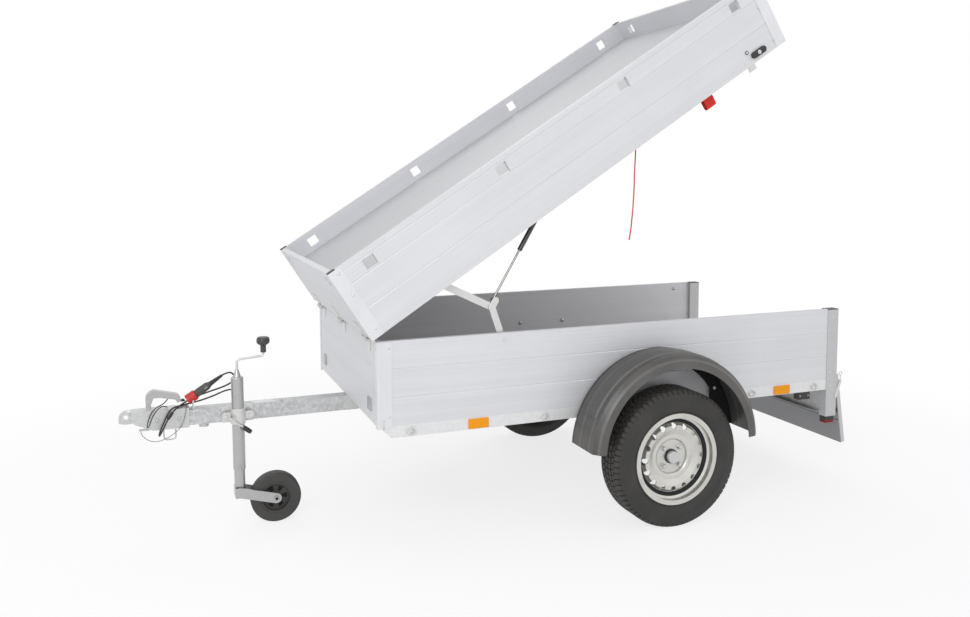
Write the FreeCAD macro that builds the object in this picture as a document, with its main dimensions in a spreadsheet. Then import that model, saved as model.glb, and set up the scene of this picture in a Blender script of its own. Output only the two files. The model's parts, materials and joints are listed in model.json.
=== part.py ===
import FreeCAD, Part
import math
import os
import re
import Sketcher

# A small two-wheeled utility trailer with a deep hinged lid.
# Millimetres, +X forwards along the drawbar, +Y to the trailer's left, +Z up.
# The origin is the centre of the coupling's ball socket.
# A level named "height" is above the ground, and a station is ahead of the axle.

SIZES = {
    # Overall
    "ball_height": 458,
    "tow_length": 2010,
    "box_front": 1158,
    "box_length": 2090,
    "box_width": 1070,
    "wall_height": 314,
    "bar_rise": 18,
    "overrun": 5,
    "seat_gap": 0.3,
    "running_fit": 0.08,
    # Load box
    "wall_thickness": 20,
    "floor_thickness": 12,
    "plank_count": 3,
    "groove_depth": 1.6,
    "groove_width": 5,
    "trim_thickness": 2.5,
    "trim_side": 56,
    "trim_front": 24,
    "trim_foot": 8,
    "trim_slot_width": 8,
    "trim_slot_height": 34,
    "cap_thickness": 3,
    # Sills and cross members
    "sill_height": 44,
    "sill_width": 30,
    "sill_wall": 3,
    "sill_nose": 24,
    "sill_start": 28,
    "member_width": 40,
    "member_wall": 3,
    "member_front_back": 538,
    "member_rear_ahead": 502,
    "bracket_length": 42,
    "bracket_wall": 4,
    # Rear posts
    "post_length": 56,
    "post_width": 40,
    "post_wall": 3,
    "post_drop": 165,
    # Drawbar
    "bar_side": 60,
    "bar_wall": 4,
    "bar_nose": 100,
    "bar_tail": 70,
    # Axle and swing arms
    "axle_side": 70,
    "axle_wall": 5,
    "axle_ahead": 95,
    "axle_inset": 35,
    "arm_thickness": 16,
    "arm_head": 44,
    "arm_foot": 30,
    "stub_radius": 17,
    "wheel_offset": 105,
    # Tyres
    "tyre_radius": 273.5,
    "tyre_width": 155,
    "tyre_wall": 11,
    "tyre_shoulder": 15.5,
    "shoulder_inset": 11.5,
    "shoulder_arc": 24,
    "crown_inset": 27.5,
    "sidewall_waist": 40,
    "sidewall_draft": 1,
    "sidewall_arc": 62,
    # Rims and discs
    "flange_radius": 182,
    "rim_inset": 15.5,
    "rim_lip": 14,
    "rim_wall": 4,
    "rim_seat": 0.4,
    "well_drop": 40,
    "well_offset": 22,
    "well_slope": 14,
    "disc_plane": 38,
    "dish_depth": 22,
    "vent_inset": 16,
    "vent_radius": 10.5,
    "vent_count": 16,
    "vent_land": 3,
    "hub_seat": 68,
    "centre_bore": 29,
    # Hubs
    "hub_radius": 66,
    "hub_flange": 10,
    "hub_barrel": 27,
    "hub_cap": 24,
    "hub_cap_length": 26,
    "hub_inboard": 46,
    "stud_circle": 50,
    "stud_radius": 6,
    "stud_length": 20,
    "stud_play": 1,
    "stud_count": 4,
    "stud_turn": 45,
    # Mudguards
    "guard_clearance": 98.5,
    "guard_lift": 44.5,
    "guard_ahead": 10,
    "guard_stand": 16.5,
    "guard_width": 186,
    "guard_wall": 3,
    "guard_skirt": 50,
    "guard_shoulder": 22,
    "guard_flange": 52,
    "guard_web": 110,
    "guard_sweep": 173,
    "guard_band_in": 52,
    "guard_band_out": 46,
    "guard_band_rise": 6,
    "guard_band_slope": 8,
    "guard_band_sweep": 132,
    "guard_bolt_inset": 32,
    "guard_bolt_high": 20.6,
    "guard_bolt_low": 57.6,
    "spacer_radius": 9,
    # Lid
    "lid_overhang": 21,
    "lid_rear_inset": 5,
    "lid_depth": 290,
    "lid_wall": 20,
    "lid_flange": 20,
    "lid_flange_height": 6,
    "lid_roof_level": 198,
    "lid_roof": 3,
    "lid_gap": 5,
    "lid_pin_ahead": 22,
    "lid_open": 32.6,
    "lid_trim": 52,
    "lid_groove_low": 110,
    "lid_groove_mid": 214,
    "lid_groove_high": 268,
    "lid_cap_length": 31,
    "slot_length": 48,
    "slot_height": 42,
    "slot_level": 221,
    "slot_inset": 150,
    "slot_count": 4,
    "end_slot_inset": 135,
    # Lid hinges
    "lid_pin_radius": 3.5,
    "strap_width": 46,
    "strap_eye_width": 18.4,
    "strap_thickness": 4,
    "strap_lid_length": 58,
    "strap_box_length": 40,
    "strap_inset": 115,
    "knuckle_radius": 7,
    "knuckle_gap": 1.5,
    # Lid locks, hand strap and pull cord
    "lock_back": 1964,
    "lock_level": 35,
    "lock_length": 77,
    "lock_height": 26,
    "lock_proud": 9,
    "lock_pad": 16,
    "catch_length": 36,
    "catch_drop": 20,
    "catch_gap": 5,
    "catch_thickness": 4,
    "bolt_radius": 8,
    "bolt_proud": 4,
    "hand_strap_back": 1662,
    "hand_strap_length": 56,
    "hand_strap_drop": 56,
    "hand_strap_width": 22,
    "hand_strap_thickness": 3,
    "strap_anchor_reach": 28,
    "cord_anchor_back": 1300,
    "cord_anchor_length": 16,
    "cord_anchor_reach": 20,
    "pull_cord_radius": 2.5,
    # Scissor stays and gas struts
    "stay_inset": 10,
    "stay_back": 500,
    "stay_drop": 28,
    "stay_joint_ahead": 42,
    "stay_joint_rise": 125,
    "stay_stud_ahead": 27,
    "stay_stud_rise": 149,
    "stay_pin_radius": 4,
    "link_width": 27,
    "link_thickness": 5,
    "link_gap": 1.5,
    "upper_pin_along": 338.4,
    "upper_pin_up": 15.8,
    "strut_pin_along": 895.4,
    "strut_pin_up": 42.6,
    "strut_inset": 24,
    "strut_radius": 9.5,
    "strut_bore": 8,
    "strut_length": 247,
    "strut_eye": 9,
    "strut_head": 36,
    "strut_rod_radius": 4,
    "strut_overlap": 24,
    "strut_piston": 7.4,
    # Tailgate
    "gate_side_gap": 20,
    "gate_thickness": 22,
    "gate_rim_gap": 4,
    "gate_below": 10,
    "gate_pin_rise": 4,
    "gate_pin_behind": 17,
    "gate_pin_radius": 5,
    "gate_gap": 5,
    "gate_lean": 8.7,
    "gate_notch": 64,
    "gate_notch_height": 26,
    "gate_hinge_inset": 155,
    "gate_pin_reach": 18,
    "gate_pin_end": 1,
    "lug_thickness": 2.5,
    "lug_leaf": 36,
    "lug_width": 40,
    "lug_radius": 9,
    "buffer_radius": 9,
    "buffer_rise": 13,
    "buffer_gap": 1,
    # Tailgate latches
    "latch_reach": 19,
    "latch_thickness": 5,
    "latch_width": 12,
    "latch_drop": 78,
    "latch_level": 8,
    "latch_ring": 8,
    "latch_wire": 2,
    "latch_ring_rise": 24,
    # Lamps and reflectors
    "lamp_bar_drop": 151,
    "lamp_bar_inset": 50,
    "lamp_bar_return": 27,
    "lamp_bar_wall": 3,
    "lamp_width": 200,
    "lamp_height": 84,
    "lamp_body": 14,
    "lamp_lens": 12,
    "lamp_inset": 14,
    "marker_length": 46,
    "marker_width": 34,
    "marker_body": 18,
    "marker_lens": 11,
    "junction_length": 61,
    "junction_height": 33,
    "junction_ahead": 143,
    "reflector_length": 80,
    "reflector_height": 36,
    "reflector_thickness": 6,
    "side_reflector_back": 391,
    "side_reflector_ahead": 297,
    "front_reflector": 46,
    "front_reflector_inset": 115,
    "front_reflector_rise": 40,
    # Lashing eyes
    "eye_ring": 12,
    "eye_wire": 3,
    "eye_sweep": 290,
    "eye_base": 7,
    "eye_stand": 6.5,
    "eye_drop": 24,
    "eye_front_back": 128,
    "eye_mid_back": 669,
    "eye_mid_ahead": 451,
    "eye_rear_ahead": 122,
    # Coupling
    "ball_radius": 25.2,
    "head_wall": 7,
    "head_skirt": 15,
    "socket_land": 2,
    "head_back": 226,
    "head_cheek": 4,
    "head_rise": 10,
    "head_neck": 92,
    "hook_back": 80,
    "hook_front": 40,
    "hook_web": 6,
    "hook_width": 14,
    "hook_reach": 12,
    "hook_thickness": 5,
    "bolt_front_back": 106,
    "bolt_rear_back": 190,
    "coupling_bolt": 9,
    "coupling_bolt_head": 7,
    "bail_front": 131,
    "bail_rear": 175,
    "bail_drop": 99,
    "bail_wire": 3,
    "bail_bend": 12,
    "bar_stub_back": 282,
    "bar_stub_radius": 19,
    "bar_stub_height": 16,
    "handle_width": 26,
    "handle_back": 68,
    "handle_reach": 129,
    "handle_rise": 75,
    "handle_nose_arc": 34,
    "handle_tail_arc": 26,
    "handle_hole": 4,
    "handle_tip_radius": 5,
    "handle_tip_length": 13,
    # Plug, cable and wires
    "plug_nose_back": 222,
    "plug_nose_side": 5,
    "plug_nose_rise": 52,
    "plug_slope": 33.3,
    "plug_ring_radius": 21,
    "plug_ring_length": 39,
    "plug_body_radius": 16,
    "plug_body_length": 65,
    "plug_relief_radius": 10,
    "plug_relief_length": 57,
    "relief_wall": 2,
    "saddle_back": 24,
    "saddle_thickness": 6,
    "saddle_width": 38,
    "saddle_height": 36,
    "cable_radius": 3.2,
    "rope_radius": 2,
    "wire_radius": 1.5,
    # Jockey wheel
    "jockey_back": 409,
    "jockey_gap": 4,
    "jockey_tube_radius": 24,
    "jockey_tube_wall": 2.6,
    "jockey_tube_rise": 124,
    "jockey_tube_length": 371,
    "jockey_tube_round": 6,
    "jockey_slot_width": 12,
    "jockey_slot_height": 22,
    "jockey_leg_radius": 21,
    "jockey_leg_wall": 2.5,
    "jockey_leg_lift": 18,
    "jockey_leg_inside": 85,
    "jockey_trail": 138,
    "jockey_wheel_radius": 100,
    "jockey_wheel_half": 25,
    "jockey_hub_radius": 62,
    "jockey_axle_radius": 7,
    "jockey_boss": 15,
    "jockey_web": 6,
    "jockey_rim": 7,
    "jockey_step": 3,
    "jockey_round": 9,
    "jockey_window_in": 24,
    "jockey_window_out": 46,
    "jockey_window_turn": 28,
    "jockey_window_count": 6,
    "fork_thickness": 4,
    "fork_height": 40,
    "fork_gap": 4,
    "fork_pin_head": 3,
    "nut_height": 20,
    "clamp_length": 122,
    "clamp_height": 62,
    "clamp_plate": 5,
    "clamp_jaw": 10,
    "clamp_ear": 14,
    "clamp_bolt": 6,
    "clamp_bolt_half": 48,
    "lever_ahead": 34,
    "lever_stand": 37,
    "lever_drop": 33,
    "lever_reach": 48,
    "lever_fall": 37,
    "lever_radius": 4,
    "grip_length": 38,
    "grip_radius": 8,
    "crank_bush": 15,
    "crank_bush_height": 28,
    "crank_shoulder": 2,
    "crank_radius": 5,
    "crank_rise": 40,
    "crank_throw": 104,
    "crank_climb": 8,
    "crank_stub": 14,
    "crank_bend": 14,
    "knob_radius": 26,
    "knob_height": 62,
}

# Radius and height shares of the crank's knob, from its foot to its crown
KNOB_SHARES = [(0, 0), (0.48, 0), (0.48, 0.42), (1, 0.6), (1, 0.84), (0.72, 1), (0, 1)]

# Length and height shares of the coupling handle, round from its foot
HANDLE_SHARES = [
    (0, 0), (0, 0.64), (0.25, 1), (0.84, 0.75), (1, 0.37),
    (0.915, 0.24), (0.85, 0.43), (0.4, 0.59), (0.225, 0.59), (0.155, 0.27), (0.155, 0),
]

# Places of the eyes through the handle, as the same shares
HANDLE_EYES = [(0.078, 0.4), (0.11, 0.83)]

# Routes of the cords, from where each leaves its fitting
PLUG_CABLE_ROUTE = [
    (-432, 4, 18.7), (-434, 0, 50), (-410, -15, 76), (-370, -25, 72), (-322, -27, 52), (-272, -27, 38),
    (-226, -20, 32), (-190, 8, 32), (-162, 40, 35), (-144, 44.5, 8), (-130, 44, -22), (-119, 45, -45),
    (-113, 58, -60), (-113, 78, -61), (-119, 92, -47), (-132, 94, -22), (-148, 86, 8), (-170, 64, 32),
    (-196, 32, 42), (-212, -4, 42), (-234, -34, 46), (-276, -44, 58), (-322, -40, 72), (-364, -28, 86),
    (-398, -12, 106), (-406, 2, 136), (-384, 5, 154), (-356.9, 5, 140.8),
]
SAFETY_ROPE_ROUTE = [
    (-150, 0, 63.9), (-140, 6, 52), (-126, 20, 46), (-108, 34, 42), (-90, 42, 28), (-80, 43, 8), (-73, 46, -12),
    (-70, 60, -26), (-75, 77, -24), (-82, 83, -6), (-90, 76, 14), (-104, 56, 32), (-121, 35, 42), (-136, 15, 40),
    (-146, 0, 30.7),
]
BREAKAWAY_ROUTE = [
    (-211.8, 0, 53), (-215, 8, 46), (-216, 24, 38), (-216, 40, 30), (-212, 44, 8), (-206, 44, -18),
    (-194, 42, -44), (-172, 34, -66), (-144, 24, -86), (-112, 16, -99), (-82, 8, -98), (-60, 3, -84),
    (-48, 0, -68), (-46, 0, -54.3),
]

# Steps of the lid's pull cord down from the middle of its anchor's underside
PULL_CORD_STEPS = [
    (0, 0, -2), (1, 0, -51), (4, 0, -111), (5, 0, -171), (8, 0, -231), (13, 0, -289), (18, 0, -336), (25, 0, -377),
]

doc = FreeCAD.newDocument("utility_trailer")
sheet = doc.addObject("Spreadsheet::Sheet", "size")
for row, (alias, value) in enumerate(SIZES.items(), start=1):
    sheet.set(f"A{row}", alias)
    sheet.set(f"B{row}", str(value))
    sheet.setAlias(f"B{row}", alias)
doc.recompute()

PLANES = {"XY": "XY_Plane", "XZ": "XZ_Plane", "YZ": "YZ_Plane"}
TURNS = {
    "x": FreeCAD.Rotation(FreeCAD.Vector(0, 1, 0), 90),
    "y": FreeCAD.Rotation(FreeCAD.Vector(1, 0, 0), -90),
    "z": FreeCAD.Rotation(),
}
ALONG_Y = FreeCAD.Vector(0, 1, 0)
# An arc turns by its bend where a corner's runs leave room, and else by this share of the shorter run
RUN_SHARE = 0.45


# Reading and binding the sheet

def linked(expression):
    """The expression with each alias pointing into the sheet."""
    return re.sub(
        r"[a-z][a-z_]*", lambda word: "size." + word.group(0) if word.group(0) in SIZES else word.group(0),
        expression)


def number(expression):
    """The expression's value, in millimetres or degrees."""
    result = sheet.evalExpression(linked(expression))
    return float(getattr(result, "Value", result))


def numbers(*expressions):
    return tuple(number(expression) for expression in expressions)


def bind(item, prop, expression):
    item.setExpression(prop, linked(expression))


def ahead(station):
    """X of a station measured ahead of the axle."""
    return f"({station} - tow_length)"


def above(height):
    """Z of a height measured above the ground."""
    return f"({height} - ball_height)"


# Shapes that follow the sheet

def placed(item, start):
    for letter, expression in zip("xyz", start):
        bind(item, f"Placement.Base.{letter}", expression)
    return item


def block(name, x, y, z):
    """A box between pairs of X, Y and Z."""
    item = doc.addObject("Part::Box", name)
    for prop, (low, high) in zip(("Length", "Width", "Height"), (x, y, z)):
        bind(item, prop, f"({high}) - ({low})")
    return placed(item, (x[0], y[0], z[0]))


def rod(name, start, radius, length, axis="z"):
    """A cylinder from a start point along an axis."""
    item = doc.addObject("Part::Cylinder", name)
    item.Placement = FreeCAD.Placement(FreeCAD.Vector(), TURNS[axis])
    bind(item, "Radius", radius)
    bind(item, "Height", length)
    return placed(item, start)


def rod_between(name, x_z, low, high, radius):
    """A cylinder across the trailer at one X and Z, between two Y places."""
    return rod(name, (x_z[0], low, x_z[1]), radius, f"({high}) - ({low})", "y")


def cone(name, start, low_radius, high_radius, length, axis="z"):
    item = doc.addObject("Part::Cone", name)
    item.Placement = FreeCAD.Placement(FreeCAD.Vector(), TURNS[axis])
    bind(item, "Radius1", low_radius)
    bind(item, "Radius2", high_radius)
    bind(item, "Height", length)
    return placed(item, start)


def ball(name, centre, radius):
    item = doc.addObject("Part::Sphere", name)
    bind(item, "Radius", radius)
    return placed(item, centre)


def fuse(name, *pieces):
    item = doc.addObject("Part::MultiFuse", name)
    item.Shapes = list(pieces)
    item.Refine = True
    return item


def cut(name, base, *tools):
    item = doc.addObject("Part::Cut", name)
    item.Base = base
    item.Tool = tools[0] if len(tools) == 1 else group(name + "_tools", *tools)
    item.Refine = True
    return item


def group(name, *pieces):
    """Solids that don't touch, kept as one named piece."""
    item = doc.addObject("Part::Compound", name)
    item.Links = list(pieces)
    return item


def mirrored(name, source):
    """The mirror image across the trailer's middle."""
    item = doc.addObject("Part::Mirroring", name)
    item.Source = source
    item.Normal = ALONG_Y
    return item


def pair(name, source):
    return group(name, source, mirrored(name + "_right", source))


def feature(name, shape):
    item = doc.addObject("Part::Feature", name)
    item.Shape = shape
    return item


def arc_centre(start, end, radius, side):
    """Centre of the minor arc from start to end, left of the chord when side is 1."""
    chord = math.hypot(end[0] - start[0], end[1] - start[1])
    rise = math.sqrt(max(radius ** 2 - chord ** 2 / 4, 0))
    across = (-(end[1] - start[1]) / chord, (end[0] - start[0]) / chord)
    return tuple((start[i] + end[i]) / 2 + side * rise * across[i] for i in range(2))


def outline(sketch, points):
    """A closed outline. A point may carry the radius and side of the arc that leaves it."""
    spots = [numbers(point[0], point[1]) for point in points]
    ends = []
    for index, point in enumerate(points):
        start, end = spots[index], spots[(index + 1) % len(spots)]
        if len(point) == 2:
            line = Part.LineSegment(FreeCAD.Vector(*start, 0), FreeCAD.Vector(*end, 0))
            ends.append((sketch.addGeometry(line, False), 1, 2))
            continue
        radius, side = number(point[2]), point[3]
        centre = arc_centre(start, end, radius, side)
        first, last = (start, end) if side > 0 else (end, start)
        angles = [math.atan2(spot[1] - centre[1], spot[0] - centre[0]) for spot in (first, last)]
        circle = Part.Circle(FreeCAD.Vector(*centre, 0), FreeCAD.Vector(0, 0, 1), radius)
        edge = sketch.addGeometry(Part.ArcOfCircle(circle, *angles), False)
        ends.append((edge, 1, 2) if side > 0 else (edge, 2, 1))
    for index, (edge, _, last) in enumerate(ends):
        following, first, _ = ends[(index + 1) % len(ends)]
        sketch.addConstraint(Sketcher.Constraint("Coincident", edge, last, following, first))
    for point, spot, (edge, first, _) in zip(points, spots, ends):
        for kind, value, expression in zip(("DistanceX", "DistanceY"), spot, point):
            row = sketch.addConstraint(Sketcher.Constraint(kind, -1, 1, edge, first, value))
            bind(sketch, f"Constraints[{row}]", expression)
        if len(point) == 4:
            row = sketch.addConstraint(Sketcher.Constraint("Radius", edge, number(point[2])))
            bind(sketch, f"Constraints[{row}]", point[2])


def sketch_on(body, name, plane, offset="0"):
    """A sketch on one of a body's own origin planes, moved along its normal."""
    sketch = body.newObject("Sketcher::SketchObject", name)
    base = [item for item in body.Origin.OriginFeatures if item.Role == PLANES[plane]][0]
    sketch.AttachmentSupport = [(base, "")]
    sketch.MapMode = "FlatFace"
    bind(sketch, "AttachmentOffset.Base.z", offset)
    return sketch


def panel(name, plane, points, low, high):
    """A body padded from one closed outline between two places across its plane."""
    body = doc.addObject("PartDesign::Body", name)
    offset = f"-1 * ({high})" if plane == "XZ" else low
    sketch = sketch_on(body, name + "_outline", plane, offset)
    outline(sketch, points)
    pad = body.newObject("PartDesign::Pad", name + "_pad")
    pad.Profile = sketch
    bind(pad, "Length", f"({high}) - ({low})")
    return body


def turned(name, points, plane="YZ", axis="H_Axis"):
    """A body revolved from an outline, about the Y axis from (Y, radius) points if not told otherwise."""
    body = doc.addObject("PartDesign::Body", name)
    sketch = sketch_on(body, name + "_outline", plane)
    outline(sketch, points)
    spin = body.newObject("PartDesign::Revolution", name + "_spin")
    spin.Profile = sketch
    spin.ReferenceAxis = (sketch, [axis])
    spin.Angle = 360
    doc.recompute()
    return body


def channel(name, x, y, z, wall, opening):
    """A folded channel with its web behind and its open side ahead, its ends open along Y."""
    shell = block(name + "_shell", x, y, z)
    bore = block(name + "_bore", (f"{x[0]} + {wall}", f"{x[1]} + {opening}"),
                 (f"{y[0]} - overrun", f"{y[1]} + overrun"), (f"{z[0]} + {wall}", f"{z[1]} - {wall}"))
    return cut(name, shell, bore)


def square_tube(name, x, y, z, wall, open_axis):
    """A square tube with open ends along one axis."""
    shell = block(name + "_shell", x, y, z)
    sides = []
    for axis, (low, high) in zip("xyz", (x, y, z)):
        if axis == open_axis:
            sides.append((f"{low} - overrun", f"{high} + overrun"))
        else:
            sides.append((f"{low} + {wall}", f"{high} - {wall}"))
    return cut(name, shell, block(name + "_bore", *sides))


def pipe_shape(points, radius, bend=None):
    """A round bar along straight runs joined by tangent bends, as large as the runs allow if none is given."""
    spots = [FreeCAD.Vector(*point) for point in points]
    edges = []
    start = spots[0]
    bends = []
    for before, corner, after in zip(spots, spots[1:], spots[2:]):
        into, out = corner - before, after - corner
        shorter = min(into.Length, out.Length)
        turn = into.getAngle(out)
        into.normalize()
        out.normalize()
        arc = bend or RUN_SHARE * shorter / math.tan(turn / 2)
        bends.append(arc)
        trim = arc * math.tan(turn / 2)
        first, last = corner - into * trim, corner + out * trim
        middle = corner + (out - into).normalize() * (arc / math.cos(turn / 2) - arc)
        edges.append(Part.LineSegment(start, first).toShape())
        edges.append(Part.Arc(first, middle, last).toShape())
        start = last
    edges.append(Part.LineSegment(start, spots[-1]).toShape())
    path = Part.Wire(edges)
    direction = (spots[1] - spots[0]).normalize()
    section = Part.Wire(Part.Circle(spots[0], direction, radius).toShape())
    return path.makePipeShell([section], True, False), path.Length, bends


def cord(name, route, radius):
    """A cord's plain tube, with its length, its bends in diameters and its volume against its length."""
    radius = number(radius)
    shape, length, bends = pipe_shape(route, radius)
    share = shape.Volume / (math.pi * radius ** 2 * length)
    print(name, "length", round(length), "tightest bend, diameters", round(min(bends) / radius / 2, 1),
          "radii", [round(bend) for bend in bends], "volume share", round(share, 3))
    return feature(name, shape)


def move(item, x="0", y="0", z="0"):
    return placed(item, (x, y, z))


def bent_ring(name, radius, wire, sweep, place):
    """A six-sided wire bent round an axis along Y, from its front and down."""
    section = doc.addObject("Part::RegularPolygon", name + "_section")
    section.Polygon = 6
    bind(section, "Circumradius", wire)
    bind(section, "Placement.Base.x", radius)
    ring = doc.addObject("Part::Revolution", name)
    ring.Source = section
    ring.Axis = ALONG_Y
    ring.Solid = True
    bind(ring, "Angle", sweep)
    return placed(ring, place)


def swung(item, x, z, angle):
    """Turn a piece about a line along Y through X and Z."""
    item.Placement = FreeCAD.Placement(FreeCAD.Vector(), FreeCAD.Rotation(ALONG_Y, 1))
    bind(item, "Placement.Rotation.Angle", angle)
    bind(item, "Placement.Base.x", f"({x}) - ({x}) * cos({angle}) - ({z}) * sin({angle})")
    bind(item, "Placement.Base.z", f"({z}) + ({x}) * sin({angle}) - ({z}) * cos({angle})")
    return item


# Places that several pieces share

FRONT = ahead("box_front")
REAR = f"({FRONT} - box_length)"
HALF = "(box_width / 2)"
FACE = "(box_width / 2 - trim_thickness)"
INNER = "(box_width / 2 - trim_thickness - wall_thickness)"
BASE = "bar_rise"
FLOOR = "(bar_rise + floor_thickness)"
RIM = "(bar_rise + wall_height)"
SILL = "(bar_rise - sill_height)"
POST = f"({REAR} + post_length)"
POST_IN = "(box_width / 2 - post_width)"
POST_FOOT = "(bar_rise - post_drop)"
BAR_LOW = "(bar_rise - bar_side)"
HOOK_LOW = f"({BAR_LOW} - hook_reach)"
PIN_X = f"({FRONT} + lid_pin_ahead)"
PIN_Z = RIM
GATE_X = f"({REAR} - gate_pin_behind)"
GATE_Z = "(bar_rise + gate_pin_rise)"
WHEEL_PLANE = "(box_width / 2 + wheel_offset)"
HUB_Z = above("tyre_radius")
LID_X = f"({PIN_X} - knuckle_radius)"
LID_Z = f"({PIN_Z} + lid_gap)"
LID_TOP = f"({LID_Z} + lid_depth)"
LID_REAR = f"({REAR} + lid_rear_inset)"
LID_HALF = "(box_width / 2 + lid_overhang)"
LID_FACE = f"({LID_HALF} - trim_thickness)"
LID_INNER = f"({LID_FACE} - lid_wall)"
STAY_PLANE = f"({INNER} - stay_inset)"


# Load box

def grooved(face, inner, base, levels, top):
    """Wall section: a plain inner face and an outer one with a narrow groove at each joint."""
    points = [(inner, base), (face, base)]
    for level in levels:
        points += [
            (face, f"{base} + {level} - groove_width / 2"),
            (f"{face} - groove_depth", f"{base} + {level}"),
            (face, f"{base} + {level} + groove_width / 2"),
        ]
    return points + [(face, top), (inner, top)]


def plank_joints(height):
    count = int(number("plank_count"))
    return [f"({height}) * {joint} / plank_count" for joint in range(1, count)]


def side_walls():
    section = grooved(FACE, INNER, BASE, plank_joints("wall_height"), RIM)
    left = panel("left_wall", "YZ", section, POST, f"{FRONT} - trim_thickness")
    return pair("side_walls", left)


def front_wall():
    face = f"({FRONT} - trim_thickness)"
    section = grooved(face, f"({face} - wall_thickness)", BASE, plank_joints("wall_height"), RIM)
    return panel("front_wall", "XZ", section, f"-1 * {INNER}", INNER)


def floor_panel():
    front = f"({FRONT} - trim_thickness - wall_thickness)"
    edge = [(front, f"-1 * {INNER}"), (front, INNER), (POST, INNER), (POST, POST_IN), (REAR, POST_IN)]
    edge += [(REAR, f"-1 * {POST_IN}"), (POST, f"-1 * {POST_IN}"), (POST, f"-1 * {INNER}")]
    return panel("floor_panel", "XY", edge, BASE, FLOOR)


def front_corner_trims():
    """Angle trims with a keyhole slot at the foot and a bolt near the top."""
    foot, low, face = f"({BASE} - trim_foot)", f"{FRONT} - trim_side", f"{FRONT} - trim_thickness"
    corner = [(FRONT, f"{HALF} - trim_front"), (FRONT, HALF), (low, HALF), (low, FACE), (face, FACE),
              (face, f"{HALF} - trim_front")]
    trim = panel("corner_trim", "XY", corner, foot, f"{RIM} - cap_thickness")
    slot_x = f"({FRONT} - trim_side / 2)"
    slot = block("trim_slot", (slot_x, f"{slot_x} + trim_slot_width"),
                 (f"{FACE} - overrun", f"{HALF} + overrun"),
                 (f"{foot} - overrun", f"{foot} + trim_slot_height"))
    return pair("front_corner_trims", cut("slotted_trim", trim, slot))


def rear_posts():
    top = f"({RIM} - cap_thickness)"
    shell = block("post_shell", (REAR, POST), (POST_IN, HALF), (POST_FOOT, top))
    bore = block("post_bore", (f"{REAR} + post_wall", f"{POST} - post_wall"),
                 (f"{POST_IN} + post_wall", f"{HALF} - post_wall"),
                 (f"{POST_FOOT} - overrun", f"{top} + overrun"))
    return pair("rear_posts", cut("rear_post", shell, bore))


def post_fittings():
    """Plastic caps on the posts, and the rubber buffers that the hanging tailgate rests on."""
    cap = block("post_cap", (REAR, POST), (POST_IN, HALF), (f"{RIM} - cap_thickness", RIM))
    level = f"({POST_FOOT} + buffer_rise)"
    drop = f"({GATE_Z} - {level} - buffer_radius)"
    face = f"({GATE_X} + (gate_gap + gate_thickness - gate_pin_behind) / cos(gate_lean) - {drop} * tan(gate_lean))"
    reach = f"({REAR} - {face} - buffer_gap)"
    buffer = rod("gate_buffer", (f"{REAR} - {reach}", f"{HALF} - post_width / 2 - buffer_radius", level),
                 "buffer_radius", reach, "x")
    return pair("post_fittings", group("post_fittings_left", cap, buffer))


def side_sills():
    """Hollow sills open at the inner side, with a swept nose."""
    start = f"({FRONT} - sill_start)"
    side = [
        (POST, SILL), (f"{start} - sill_nose", SILL), (start, f"{SILL} + sill_nose"), (start, BASE), (POST, BASE),
    ]
    solid = panel("sill_solid", "XZ", side, f"{FACE} - sill_width", FACE)
    hollow = block("sill_hollow", (f"{REAR} - overrun", f"{start} - sill_nose - sill_wall"),
                   (f"{FACE} - sill_width - overrun", f"{FACE} - sill_wall"),
                   (f"{SILL} + sill_wall", f"{BASE} - sill_wall"))
    return pair("side_sills", cut("left_sill", solid, hollow))


def cross_members():
    """A front channel each side of the drawbar, and channels right across behind the axle and at the tail."""
    inside = f"({FACE} - sill_width)"
    front = f"({FRONT} - member_front_back)"
    rear = f"({REAR} + member_rear_ahead)"
    left = channel("front_member", (front, f"{front} + member_width"), ("bar_side / 2", inside), (SILL, BASE),
                   "member_wall", "overrun")
    back = channel("rear_member", (rear, f"{rear} + member_width"), (f"-1 * {inside}", inside), (SILL, BASE),
                   "member_wall", "overrun")
    tail = channel("tail_member", (REAR, f"{REAR} + member_width"), (f"-1 * {POST_IN}", POST_IN), (SILL, BASE),
                   "member_wall", "overrun")
    return group("cross_members", left, mirrored("front_member_right", left), back, tail)


# Running gear

def drawbar():
    return square_tube("drawbar", (ahead("-1 * bar_tail"), "-1 * bar_nose"),
                       ("-1 * bar_side / 2", "bar_side / 2"), (BAR_LOW, BASE), "bar_wall", "x")


def axle_beam():
    middle, reach = ahead("axle_ahead"), "(box_width / 2 - axle_inset)"
    return square_tube("axle_beam", (f"{middle} - axle_side / 2", f"{middle} + axle_side / 2"),
                       (f"-1 * {reach}", reach), (f"{BAR_LOW} - axle_side", BAR_LOW), "axle_wall", "y")


def tangent_arm(reach, small, large):
    """An arm in the XZ plane: a small round at the origin, a large one at reach, tangent sides."""
    lean = math.asin((large - small) / reach)

    def spot(centre, radius, angle):
        return FreeCAD.Vector(centre + radius * math.cos(angle), 0, radius * math.sin(angle))

    up = math.pi / 2 + lean
    edges = [
        Part.Arc(spot(0, small, up), spot(0, small, math.pi), spot(0, small, -up)),
        Part.LineSegment(spot(0, small, -up), spot(reach, large, -up)),
        Part.Arc(spot(reach, large, -up), spot(reach, large, 0), spot(reach, large, up)),
        Part.LineSegment(spot(reach, large, up), spot(0, small, up)),
    ]
    return Part.Face(Part.Wire([edge.toShape() for edge in edges]))


def plate_between(start, end, small, large, low, high):
    """A flat arm from the round at one X and Z to the round at another, between two Y places."""
    dx, dz = end[0] - start[0], end[1] - start[1]
    face = tangent_arm(math.hypot(dx, dz), small, large)
    face.rotate(FreeCAD.Vector(), ALONG_Y * -1, math.degrees(math.atan2(dz, dx)))
    face.translate(FreeCAD.Vector(start[0], low, start[1]))
    return face.extrude(ALONG_Y * (high - low))


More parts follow.
